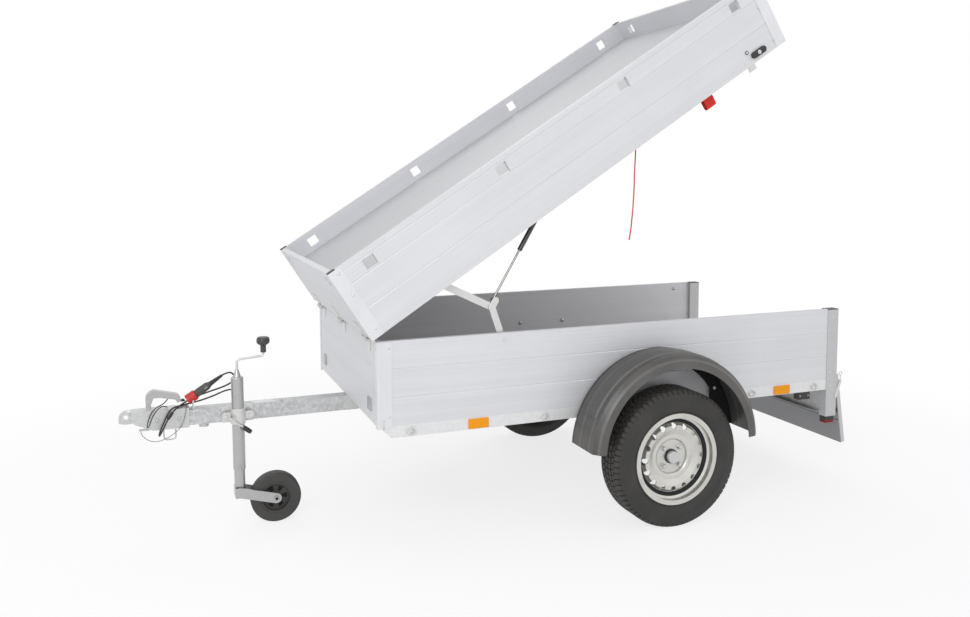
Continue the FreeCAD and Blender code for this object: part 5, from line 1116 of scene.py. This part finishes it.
@dataclass
class WheelCentre:
    """Cap nuts, a black ring as painted shade in the hub bore, grease cap and tyre valve of one road wheel, with a
    near-black ring as painted shade in the rim's deep groove and a pressed swage ring.
    """

    side: int
    seat: float = 0.6560
    circle: float = 0.050
    nut_across: float = 0.0098
    nut_height: float = 0.0180
    bore_shade: tuple[float, float] = (0.0245, 0.0286)
    cap_face: float = 0.6780
    valve_reach: float = 0.1525
    valve_face: float = 0.6720
    channel_shade: Sequence[tuple[float, float]] = ((0.1395, 0.6660), (0.1545, 0.6742), (0.1545, 0.6758), (0.1395, 0.6676))
    swage: Sequence[tuple[float, float]] = (
        (0.0660, 0.6550), (0.0672, 0.6590), (0.0695, 0.6634), (0.0730, 0.6664), (0.0775, 0.6678), (0.0830, 0.6681),
        (0.0885, 0.6674), (0.0902, 0.6669), (0.0900, 0.6655), (0.0700, 0.6555),
    )

    def build(self, finishes: Finishes) -> None:
        """Makes and places the small pieces."""
        name = "left" if self.side > 0 else "right"
        body = f"{name}_road_wheel"
        out = Vector((0, self.side, 0))
        hub = Vector((AXLE.x, 0, AXLE.z))
        high = self.nut_height
        wide = self.nut_across
        nut = Bench.stack("nut", ((wide * 1.2, 0), (wide * 1.2, 0.0015), (wide, 0.0022), (wide, high * 0.7),
                                  (wide * 0.8, high * 0.88), (wide * 0.35, high)), 6)
        moves = []
        for number in range(4):
            turn = math.radians(45 + 90 * number)
            place = hub + Vector((math.cos(turn), 0, math.sin(turn))) * self.circle + out * self.seat
            moves.append(Bench.aimed(place, out, 0.3 * number))
        handed(Bench.spread(nut, f"{name}_wheel_nuts", moves), body, finishes.small)
        # painted shade: a black ring in the bore round the grease cap
        inner, outer = self.bore_shade
        bore_shade = Bench.hoop("bore_shade", ((inner, 0), (outer, 0), (outer, 0.008), (outer - 0.001, 0.010), (inner, 0.010)))
        handed(Bench.spread(bore_shade, f"{name}_hub_bore_shade", [Bench.aimed(hub + out * 0.6535, out)]), body,
               finishes.plastic)
        # painted shade: a near-black ring in the rim's deep groove between disc and lip
        channel_shade = Bench.hoop("channel_shade", self.channel_shade, 96)
        handed(Bench.spread(channel_shade, f"{name}_rim_channel_shade", [Bench.aimed(hub, out)]), body, finishes.painted_shade)
        swage = Bench.hoop("swage", self.swage, 96)
        handed(Bench.spread(swage, f"{name}_rim_swage", [Bench.aimed(hub, out)]), body, finishes.rim)
        cap = Bench.stack("cap", ((0.0235, 0), (0.0238, 0.0006), (0.0226, 0.0022), (0.0150, 0.0034), (0.0142, 0.0028),
                                  (0.0060, 0.0030)), 48)
        handed(Bench.spread(cap, f"{name}_grease_cap", [Bench.aimed(hub + out * self.cap_face, out)]), body,
               finishes.small)
        valve = Bench.stack("valve", ((0.0065, 0), (0.0060, 0.003), (0.0040, 0.006), (0.0036, 0.020), (0.0043, 0.0205),
                                      (0.0043, 0.028), (0.0030, 0.030)), 16)
        place = hub + Vector((self.valve_reach, 0, -0.004)) + out * self.valve_face
        handed(Bench.spread(valve, f"{name}_tyre_valve", [Bench.aimed(place, out + Vector((-0.25, 0, 0)))]), body,
               finishes.plastic)


class Head(Enum):
    """Kinds of small fastener head."""

    DOME = "dome"
    HEX = "hex"
    RIVET = "rivet"


@dataclass
class Fastener:
    """One kind of screw, bolt or rivet head, copied to all its places on one body."""

    name: str
    body: str
    kind: Head
    radius: float
    height: float
    places: Sequence[tuple[Point, Point]]
    lifted: bool = False

    def head(self) -> bpy.types.Object:
        """Models one head, standing on its seat along Z."""
        wide, high = self.radius, self.height
        if self.kind is Head.HEX:
            washer = Bench.stack("washer", ((wide * 1.35, 0), (wide * 1.35, high * 0.14), (wide * 1.28, high * 0.2)),
                                 20)
            nut = Bench.stack("hex", ((wide, high * 0.15), (wide, high * 0.85), (wide * 0.86, high)), 6)
            return Bench.joined("head", washer, nut)
        if self.kind is Head.RIVET:
            return Bench.stack("head", ((wide, 0), (wide * 0.94, high * 0.45), (wide * 0.7, high * 0.85),
                                        (wide * 0.3, high)), 12)
        return Bench.stack("head", ((wide, 0), (wide, high * 0.2), (wide * 0.92, high * 0.5), (wide * 0.72, high * 0.8),
                                    (wide * 0.4, high * 0.96), (wide * 0.12, high)), 20)

    def build(self, finish: bpy.types.Material, slot: Slot = Slot.STEEL) -> bpy.types.Object:
        """Copies the head to its places and dresses the piece."""
        moves = [Bench.aimed(place, out, 0.4 * number) for number, (place, out) in enumerate(self.places)]
        piece = Bench.spread(self.head(), self.name, moves)
        if self.lifted:
            Bench.lifted(piece)
        return handed(piece, self.body, finish)


def on_sides(points: Iterable[tuple[float, float]], face: float, inward: bool = False) -> list[tuple[Point, Point]]:
    """Places on both side faces.

    Args:
        points: Station and height of each place.
        face: How far the face is from the middle.
        inward: Whether the heads look inwards.

    Returns:
        Each place with the direction that its head looks.
    """
    found = []
    for side in (1, -1):
        look = Vector((0, -side if inward else side, 0))
        found += [((x, side * face, z), look) for x, z in points]
    return found


@dataclass
class BoxFasteners:
    """Screws, rivets and nuts of the load box, posts and mudguards."""

    trim_back: float = 0.047
    trim_levels: Sequence[float] = (0.306, 0.053)
    guard_centre: tuple[float, float] = (-2.000, -0.140)
    guard_circle: float = 0.339
    guard_turns: Sequence[float] = (-57.6, -20.6, 20.6, 57.6)
    guard_face: float = 0.5520
    stay_foot: tuple[float, float] = (-1.352, 0.304)
    inner_nuts: Sequence[tuple[float, float]] = ((-1.877, 0.172), (-2.116, 0.172))
    keeper: tuple[float, float] = (-2.790, 0.301)
    post_points: Sequence[tuple[float, float]] = ((-2.914, 0.296), (-2.904, 0.053), (-2.907, -0.011), (-2.914, -0.118))
    inner_face: float = 0.5125

    def build(self, finishes: Finishes) -> None:
        """Places every fastener on the chassis."""
        trims = [(BOX_FRONT - self.trim_back, level) for level in self.trim_levels]
        Fastener("box_trim_screws", "chassis", Head.DOME, 0.0052, 0.0026, on_sides(trims, TRIM_FACE)).build(
            finishes.bright)
        Fastener("post_screws", "chassis", Head.DOME, 0.0050, 0.0026, on_sides(self.post_points, TRIM_FACE)).build(
            finishes.bright)
        Fastener("stay_foot_screws", "chassis", Head.DOME, 0.0072, 0.0034, on_sides([self.stay_foot], BOX_FACE)).build(
            finishes.bright)
        inner = on_sides(self.inner_nuts, self.inner_face, True)
        Fastener("wall_dome_nuts", "chassis", Head.DOME, 0.0105, 0.0105, inner).build(finishes.small)
        keepers = on_sides([self.keeper], self.inner_face, True)
        Fastener("lock_keepers", "chassis", Head.DOME, 0.0070, 0.0130, keepers).build(finishes.small)
        around = []
        for turn in self.guard_turns:
            angle = math.radians(turn)
            around.append((self.guard_centre[0] + self.guard_circle * math.sin(angle),
                           self.guard_centre[1] + self.guard_circle * math.cos(angle)))
        Fastener("mudguard_bolts", "chassis", Head.DOME, 0.0080, 0.0050, on_sides(around, self.guard_face)).build(
            finishes.small)
        front = [((-0.8520, side * across, level), (1, 0, 0)) for side in (1, -1)
                 for across, level in ((0.523, 0.306), (0.523, 0.053), (0.523, 0.180))]
        Fastener("front_trim_rivets", "chassis", Head.RIVET, 0.0040, 0.0018, front).build(finishes.small)


@dataclass
class LidFasteners:
    """Screws of the lid's corner trims, and the barrels of its locks."""

    stations: Sequence[float] = (0.042, 2.057)
    levels: Sequence[float] = (0.276, 0.184, 0.036)
    lock_back: float = 1.964
    lock_level: float = 0.035
    lock_face: float = 0.5625
    pad: tuple[float, float] = (1.913, 0.061)
    catch_along: tuple[float, float] = (1.8977, 1.9343)
    catch_y: tuple[float, float] = (0.5371, 0.5419)

    def build(self, finishes: Finishes) -> None:
        """Places every fastener on the lid."""
        points = [(LID_PIN.x - along, LID_PIN.z + level) for along in self.stations for level in self.levels]
        Fastener("lid_trim_screws", "lid", Head.DOME, 0.0052, 0.0026, on_sides(points, LID_TRIM), True).build(
            finishes.bright)
        lock = [(LID_PIN.x - self.lock_back, LID_PIN.z + self.lock_level)]
        barrel = Bench.stack("barrel", ((0.0085, 0), (0.0085, 0.0010), (0.0075, 0.0014), (0.0064, 0.0014),
                                        (0.0060, 0.0006), (0.0020, 0.0008)), 32)
        moves = [Bench.aimed(place, look) for place, look in on_sides(lock, self.lock_face)]
        handed(Bench.lifted(Bench.spread(barrel, "lock_barrels", moves)), "lid", finishes.bright)
        # painted shade: the key slot is a thin near-black slab on the barrel face
        key = Bench.slab("key_slot", (-0.0036, -0.0007, 0.0), (0.0036, 0.0007, 0.0013), 0.0003, 1)
        moves = [Bench.aimed(place, look, 0.7) for place, look in on_sides(lock, self.lock_face)]
        handed(Bench.lifted(Bench.spread(key, "key_slot_shade", moves)), "lid", finishes.painted_shade)
        catches = []
        for side in (1, -1):
            near, far = sorted((side * self.catch_y[0], side * self.catch_y[1]))
            catches.append(Bench.slab("catch", (LID_PIN.x - self.catch_along[1], near, LID_PIN.z - 0.0203),
                                      (LID_PIN.x - self.catch_along[0], far, LID_PIN.z + 0.0048), 0.0006, 2))
        handed(Bench.lifted(Bench.joined("lock_catches", *catches)), "lid", finishes.bright)
        pad = [(LID_PIN.x - self.pad[0], LID_PIN.z + self.pad[1])]
        Fastener("lock_pad_screws", "lid", Head.DOME, 0.0090, 0.0045, on_sides(pad, LID_FACE), True).build(
            finishes.bright)


@dataclass
class HandStrap:
    """Pull strap: one length of webbing folded into a loop, with its sewn hem."""

    along: tuple[float, float] = (1.664, 1.716)
    legs: tuple[float, float] = (0.4872, 0.5058)
    drop: float = 0.0545
    top: float = 0.0055
    thickness: float = 0.0022
    bend_steps: int = 8
    across_steps: int = 6
    bow: float = 0.0012

    def path(self) -> list[tuple[float, float]]:
        """The loop's line across the lid, from one sewn end to the other."""
        inner, outer = self.legs
        middle, radius = (inner + outer) / 2, (outer - inner) / 2
        foot = LID_PIN.z - self.drop + radius + self.thickness / 2
        line = [(inner, LID_PIN.z + self.top), (inner, (LID_PIN.z + foot) / 2)]
        for number in range(self.bend_steps + 1):
            turn = math.pi * number / self.bend_steps
            line.append((middle - radius * math.cos(turn), foot - radius * math.sin(turn)))
        return line + [(outer, (LID_PIN.z + foot) / 2), (outer, LID_PIN.z + self.top)]

    def build(self, finishes: Finishes) -> None:
        """Draws the loop from a thin strip, thickens it and sews its hem."""
        path = self.path()
        start, end = (LID_PIN.x - value for value in self.along)
        Bench.clear()
        bpy.ops.mesh.primitive_grid_add(x_subdivisions=self.across_steps, y_subdivisions=len(path) - 1, size=1.0)
        strap = bpy.context.object
        bpy.ops.object.transform_apply(location=True, rotation=True, scale=True)
        for point in strap.data.vertices:
            share = point.co.x + 0.5
            y, z = path[round((point.co.y + 0.5) * (len(path) - 1))]
            lean = self.bow * math.sin(math.pi * share)
            point.co = (start + (end - start) * share, y + lean, z)
        Bench.outward(strap)
        Bench.take(strap)
        thick = strap.modifiers.new("thick", "SOLIDIFY")
        thick.thickness = self.thickness
        thick.offset = 0.0
        bpy.ops.object.modifier_apply(modifier=thick.name)
        rounded = strap.modifiers.new("rounded", "SUBSURF")
        rounded.levels = rounded.render_levels = 2
        bpy.ops.object.modifier_apply(modifier=rounded.name)
        strap.name = "lid_pull_strap"
        Bench.lifted(strap)
        handed(strap, "lid", finishes.webbing)
        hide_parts("lid_hand_strap")
        stitches = []
        face = self.legs[1] + self.thickness * 0.75 + self.bow * 0.6
        for row in (-0.0035, -0.0105):
            for number in range(9):
                x = start + (end - start) * (0.08 + 0.84 * number / 8)
                stitches.append(Bench.aimed((x, face, LID_PIN.z + row), (0, 1, 0)))
        thread = Bench.slab("thread", (-0.0017, -0.0004, -0.0003), (0.0017, 0.0004, 0.0004), 0.0002, 1)
        sewn = Bench.lifted(Bench.spread(thread, "strap_stitches", stitches))
        handed(sewn, "lid", finishes.cord)


@dataclass
class TrailerPlug:
    """Plug parked on the drawbar: ribbed red ring, grip, clamp screws and cable relief."""

    nose: Triple = (-0.222, 0.005, 0.052)
    slope: float = math.radians(33.3)
    ring_length: float = 0.039
    ring_ribs: int = 18
    relief_start: float = 0.104
    relief_end: float = 0.161
    relief_rings: int = 9

    def move(self) -> Matrix:
        """Stands a form's Z axis along the plug."""
        return Bench.aimed(self.nose, (-math.cos(self.slope), 0, math.sin(self.slope)))

    def ring(self) -> bpy.types.Object:
        """The bayonet ring with its finger ribs and open nose."""
        end = self.ring_length
        ring = Bench.stack("ring", ((0.0160, 0.006), (0.0160, 0.0), (0.0196, 0.0), (0.0208, 0.0012), (0.0210, 0.003),
                                    (0.0210, 0.011), (0.0203, 0.0125), (0.0192, 0.0130), (0.0192, 0.0270),
                                    (0.0203, 0.0275), (0.0208, 0.0290), (0.0208, 0.0360), (0.0198, 0.0378),
                                    (0.0170, end)), 2 * self.ring_ribs)

        def is_rib(centre: Vector, normal: Vector) -> bool:
            turn = int(math.atan2(centre.y, centre.x) % math.tau / math.tau * 2 * self.ring_ribs)
            return abs(normal.z) < 0.2 and 0.014 < centre.z < 0.026 and turn % 2 == 0

        Bench.pick(ring, Element.FACES, is_rib)
        bpy.ops.mesh.extrude_region_move(TRANSFORM_OT_translate={"value": (0, 0, 0)})
        bpy.ops.transform.resize(value=(1.05, 1.05, 1), center_override=(0, 0, 0))
        bpy.ops.object.mode_set(mode="OBJECT")
        Bench.softened(ring, 0.0003, 1)
        return ring

    def grip(self) -> bpy.types.Object:
        """The body, fluted where fingers hold it, with two flats for the clamp."""
        grip = Bench.stack("grip", ((0.0150, 0.0390), (0.0160, 0.0410), (0.0160, 0.0450), (0.0152, 0.0460),
                                    (0.0152, 0.0480), (0.0160, 0.0490), (0.0160, 0.0740), (0.0152, 0.0755),
                                    (0.0152, 0.0775), (0.0158, 0.0790), (0.0156, 0.0900), (0.0138, 0.0965),
                                    (0.0112, 0.1010), (0.0100, 0.1040)), 40)

        def is_flute(centre: Vector, normal: Vector) -> bool:
            turn = int(math.atan2(centre.y, centre.x) % math.tau / math.tau * 40)
            return abs(normal.z) < 0.2 and 0.050 < centre.z < 0.073 and turn % 4 == 0

        Bench.pick(grip, Element.FACES, is_flute)
        bpy.ops.mesh.extrude_region_move(TRANSFORM_OT_translate={"value": (0, 0, 0)})
        bpy.ops.transform.resize(value=(0.93, 0.93, 1), center_override=(0, 0, 0))
        bpy.ops.object.mode_set(mode="OBJECT")
        Bench.softened(grip, 0.0003, 1)
        return grip

    def relief(self) -> bpy.types.Object:
        """The tapered sleeve that keeps the cable from kinking."""
        start, end, count = self.relief_start, self.relief_end, self.relief_rings
        steps = [(0.0100, start - 0.001)]
        for number in range(count):
            foot = start + (end - start) * number / count
            pitch = (end - start) / count
            wide = 0.0100 - 0.0046 * number / count
            steps += [(wide, foot), (wide, foot + pitch * 0.55), (wide - 0.0011, foot + pitch * 0.65),
                      (wide - 0.0011, foot + pitch * 0.95)]
        steps.append((0.0046, end))
        return Bench.stack("relief", steps, 28)

    def build(self, finishes: Finishes) -> list[bpy.types.Object]:
        """Makes the plug's pieces.

        Args:
            finishes: The trailer's finishes.

        Returns:
            Ring, grip, relief and screws.
        """
        move = self.move()
        pieces = []
        for name, form, slot, finish in (("plug_ring", self.ring(), Slot.RED_LENS, finishes.socket_red),
                                         ("plug_grip", self.grip(), Slot.PLASTIC, finishes.plug),
                                         ("plug_relief", self.relief(), Slot.PLASTIC, finishes.cable)):
            pieces.append(handed(Bench.spread(form, name, [move]), "chassis", finish))
        across = Vector((0, 1, 0))
        places = [(move @ Vector((0, 0, level)) + across * 0.0152, across) for level in (0.0815, 0.0885)]
        pieces.append(Fastener("plug_screws", "chassis", Head.DOME, 0.0024, 0.0016, places).build(finishes.small))
        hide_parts("trailer_plug")
        return pieces


@dataclass
class DrawbarDress:
    """Small pieces on the drawbar: lever grip, handle tip, blank plate, cable sleeve and hollow ends."""

    grip_start: Triple = (-0.423, 0.095, -0.052)
    grip_along: Triple = (-0.048, 0.0, -0.037)
    grip_length: float = 0.038
    tip: Triple = (-0.2115, 0.0, 0.053)
    braid_start: Triple = (-0.1470, 0.0866, 0.0061)
    braid_along: Triple = (-0.0225, -0.0215, 0.0250)
    plate_low: Triple = (-0.560, -0.021, 0.018)
    plate_high: Triple = (-0.468, 0.021, 0.0194)

    def build(self, finishes: Finishes) -> None:
        """Makes and places the small pieces."""
        long = self.grip_length
        grip = Bench.stack("grip", ((0.0058, -0.001), (0.0084, 0.0008), (0.0090, 0.006), (0.0094, 0.016),
                                    (0.0093, 0.026), (0.0087, 0.036), (0.0070, long + 0.0012),
                                    (0.0030, long + 0.002)), 28)
        handed(Bench.spread(grip, "clamp_lever_grip", [Bench.aimed(self.grip_start, self.grip_along)]), "chassis",
               finishes.plastic)
        tip = Bench.stack("tip", ((0.0040, 0), (0.0056, 0.0010), (0.0057, 0.0110), (0.0052, 0.0125)), 24)
        handed(Bench.spread(tip, "handle_tip_sleeve", [Bench.aimed(self.tip, (1, 0, 0))]), "chassis",
               finishes.plastic)
        braid = Bench.stack("braid", ((0.0042, 0), (0.0062, 0.0008), (0.0064, 0.0100), (0.0064, 0.0200),
                                      (0.0062, 0.0292), (0.0042, 0.0300)), 20)
        handed(Bench.spread(braid, "cable_braid_sleeve", [Bench.aimed(self.braid_start, self.braid_along)]), "chassis",
               finishes.rope)
        plate = Bench.slab("drawbar_plate", self.plate_low, self.plate_high, 0.0005, 1)
        handed(plate, "chassis", finishes.trim)
        corners = [((x, y, self.plate_high[2]), (0, 0, 1)) for x in (-0.5545, -0.4735) for y in (-0.0165, 0.0165)]
        Fastener("plate_rivets", "chassis", Head.RIVET, 0.0020, 0.0010, corners).build(finishes.small)
        ends = [((x, side * 0.041, -0.012), (0, side, 0)) for x in (-0.106, -0.190) for side in (1, -1)]
        Fastener("coupling_bolt_ends", "chassis", Head.DOME, 0.0055, 0.0022, ends).build(finishes.tube)
        top = [((-0.585, 0.012, BOX_BASE), (0, 0, 1))]
        Fastener("drawbar_top_bolt", "chassis", Head.HEX, 0.0065, 0.0060, top).build(finishes.small)


@dataclass
class JockeyDress:
    """Near-black disc as painted shade behind the jockey wheel's windows, its axle ends with dark discs as painted
    shade, and the turned crank knob.
    """

    axle: Triple = (-0.547, 0.058, -0.358)
    window_shade: tuple[float, float] = (0.0520, 0.0050)
    arm_face: float = 0.0940
    knob_foot: Triple = (-0.513, 0.058, 0.232)
    knob_steps: Sequence[tuple[float, float]] = (
        (0.0105, 0.0000), (0.0112, 0.0015), (0.0112, 0.0230), (0.0118, 0.0265), (0.0150, 0.0300), (0.0205, 0.0330),
        (0.0240, 0.0365), (0.0255, 0.0405), (0.0260, 0.0450), (0.0257, 0.0500), (0.0246, 0.0550), (0.0226, 0.0585),
        (0.0195, 0.0606), (0.0140, 0.0616), (0.0060, 0.0620),
    )

    def build(self, finishes: Finishes) -> None:
        """Makes and places the small pieces."""
        out = Vector((0, 1, 0))
        axle = Vector(self.axle)
        # painted shade: a near-black disc seen through the wheel's windows
        wide, thick = self.window_shade
        window_shade = Bench.stack("window_shade", ((wide * 0.96, 0), (wide, 0.0008), (wide, thick - 0.0008), (wide * 0.96, thick)), 48)
        handed(Bench.spread(window_shade, "jockey_window_shade", [Bench.aimed(axle - out * thick / 2, out)]), "jockey_roller",
               finishes.painted_shade)
        ring = Bench.hoop("ring", ((0.0062, 0), (0.0100, 0), (0.0100, 0.0012), (0.0092, 0.0020), (0.0062, 0.0020)), 32)
        ends, hollows = [], []
        for side in (1, -1):
            place = Vector((axle.x, axle.y + side * (self.arm_face - axle.y), axle.z))
            ends.append(Bench.aimed(place, out * side))
            hollows.append(Bench.aimed(place, out * side))
        handed(Bench.spread(ring, "fork_axle_rings", ends), "jockey_caster", finishes.tube)
        # painted shade: dark discs in the hollow axle ends
        hollow = Bench.stack("hollow", ((0.0062, 0), (0.0062, 0.0004), (0.0050, 0.0006)), 24)
        handed(Bench.spread(hollow, "fork_axle_shade_discs", hollows), "jockey_caster", finishes.painted_shade)
        knob = Bench.stack("knob", self.knob_steps, 40)
        turned = handed(Bench.spread(knob, "turned_crank_knob", [Bench.aimed(self.knob_foot, (0, 0, 1))]),
                        "jockey_post", finishes.knob)
        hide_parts("crank_knob")


@dataclass
class RearDress:
    """Lens frames and the junction box's lid screws."""

    def build(self, finishes: Finishes) -> None:
        """Makes and places the small pieces."""
        frames = []
        for side in (1, -1):
            for low, high in self.frame_bars(side):
                frames.append(Bench.slab("bar", low, high, 0.0008, 2))
        handed(Bench.joined("lens_frames", *frames), "chassis", finishes.plastic)
        screws = []
        for side in (1, -1):
            for x in (-2.790, -2.747):
                screws.append(((x, side * BOX_FACE, -0.0425), (0, side, 0)))
        Fastener("junction_screws", "chassis", Head.DOME, 0.0030, 0.0015, screws).build(finishes.small)

    def frame_bars(self, side: int) -> list[tuple[Triple, Triple]]:
        """The two dividing bars over one rear lens, by their corners."""
        low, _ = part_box("rear_lamp_lenses")
        back = low.x - 0.0008
        bars = []
        for share in (0.36, 0.68):
            y = 0.281 + 0.200 * share
            first, second = sorted((side * y, side * (y + 0.003)))
            bars.append(((back, first, -0.127), (back + 0.003, second, -0.049)))
        return bars


CABLE_ROUTE: Sequence[Triple] = (
    (-0.432, 0.004, 0.0187), (-0.434, 0.0, 0.050), (-0.410, -0.015, 0.076), (-0.370, -0.025, 0.072),
    (-0.322, -0.027, 0.052), (-0.272, -0.027, 0.038), (-0.226, -0.020, 0.032), (-0.190, 0.008, 0.032),
    (-0.162, 0.040, 0.035), (-0.144, 0.0445, 0.008), (-0.130, 0.044, -0.022), (-0.119, 0.045, -0.045),
    (-0.113, 0.058, -0.060), (-0.113, 0.078, -0.061), (-0.119, 0.092, -0.047), (-0.132, 0.094, -0.022),
    (-0.148, 0.086, 0.008), (-0.170, 0.064, 0.032), (-0.196, 0.032, 0.042), (-0.212, -0.004, 0.042),
    (-0.234, -0.034, 0.046), (-0.276, -0.044, 0.058), (-0.322, -0.040, 0.072), (-0.364, -0.028, 0.086),
    (-0.398, -0.012, 0.106), (-0.406, 0.002, 0.136), (-0.384, 0.005, 0.154), (-0.3569, 0.005, 0.1408),
)
ROPE_ROUTE: Sequence[Triple] = (
    (-0.150, 0.0, 0.0639), (-0.140, 0.006, 0.052), (-0.126, 0.020, 0.046), (-0.108, 0.034, 0.042),
    (-0.090, 0.042, 0.028), (-0.080, 0.043, 0.008), (-0.073, 0.046, -0.012), (-0.070, 0.060, -0.026),
    (-0.075, 0.077, -0.024), (-0.082, 0.083, -0.006), (-0.090, 0.076, 0.014), (-0.104, 0.056, 0.032),
    (-0.121, 0.035, 0.042), (-0.136, 0.015, 0.040), (-0.146, 0.0, 0.0307),
)
WIRE_ROUTE: Sequence[Triple] = (
    (-0.2118, 0.0, 0.053), (-0.215, 0.008, 0.046), (-0.216, 0.024, 0.038), (-0.216, 0.040, 0.030),
    (-0.212, 0.044, 0.008), (-0.206, 0.044, -0.018), (-0.194, 0.042, -0.044), (-0.172, 0.034, -0.066),
    (-0.144, 0.024, -0.086), (-0.112, 0.016, -0.099), (-0.082, 0.008, -0.098), (-0.060, 0.003, -0.084),
    (-0.048, 0.0, -0.068), (-0.046, 0.0, -0.0543),
)
LID_CORD_ROUTE: Sequence[Triple] = (
    (-1.92923, 0.50017, 1.04092), (-1.92923, 0.50017, 1.03892), (-1.92823, 0.50017, 0.98992),
    (-1.92523, 0.50017, 0.92992), (-1.92423, 0.50017, 0.86992), (-1.92123, 0.50017, 0.80992),
    (-1.91623, 0.50017, 0.75192), (-1.91123, 0.50017, 0.70492), (-1.90423, 0.50017, 0.66392),
)


class Cords:
    """The trailer's four free cords."""

    def build(self, finishes: Finishes, plug: Sequence[bpy.types.Object]) -> None:
        """Args:
            finishes: The trailer's finishes.
            plug: The pieces on the cable's far end.
        """
        Cord("lamp_cable", "plug_cable", "chassis", Slot.CABLE, 0.0032, 0.976, "plug", "medium", "coiled",
             CABLE_ROUTE).build(finishes.cable, plug)
        Cord("safety_rope_loop", "safety_rope", "chassis", Slot.CABLE, 0.0020, 0.307, "object", "limp", "hanging",
             ROPE_ROUTE).build(finishes.rope)
        Cord("breakaway_line", "breakaway_wire", "chassis", Slot.WIRE, 0.0015, 0.317, "object", "medium", "hanging",
             WIRE_ROUTE).build(finishes.strand)
        Cord("lid_cord", "lid_pull_cord", "lid", Slot.WEBBING, 0.0025, 0.376, "bare", "limp", "hanging",
             LID_CORD_ROUTE).build(finishes.cord)


def main() -> None:
    """Builds the trailer's looks in order."""
    logging.basicConfig(level=logging.INFO, format="%(name)s: %(message)s")
    Studio().build()
    finishes = Finishes()
    Dress(finishes).build()
    plug = TrailerPlug().build(finishes)
    Cords().build(finishes, plug)
    for side in (1, -1):
        Tyre(side).build(finishes)
        WheelCentre(side).build(finishes)
    BoxFasteners().build(finishes)
    LidFasteners().build(finishes)
    HandStrap().build(finishes)
    DrawbarDress().build(finishes)
    JockeyDress().build(finishes)
    RearDress().build(finishes)


if __name__ == "__main__":
    main()
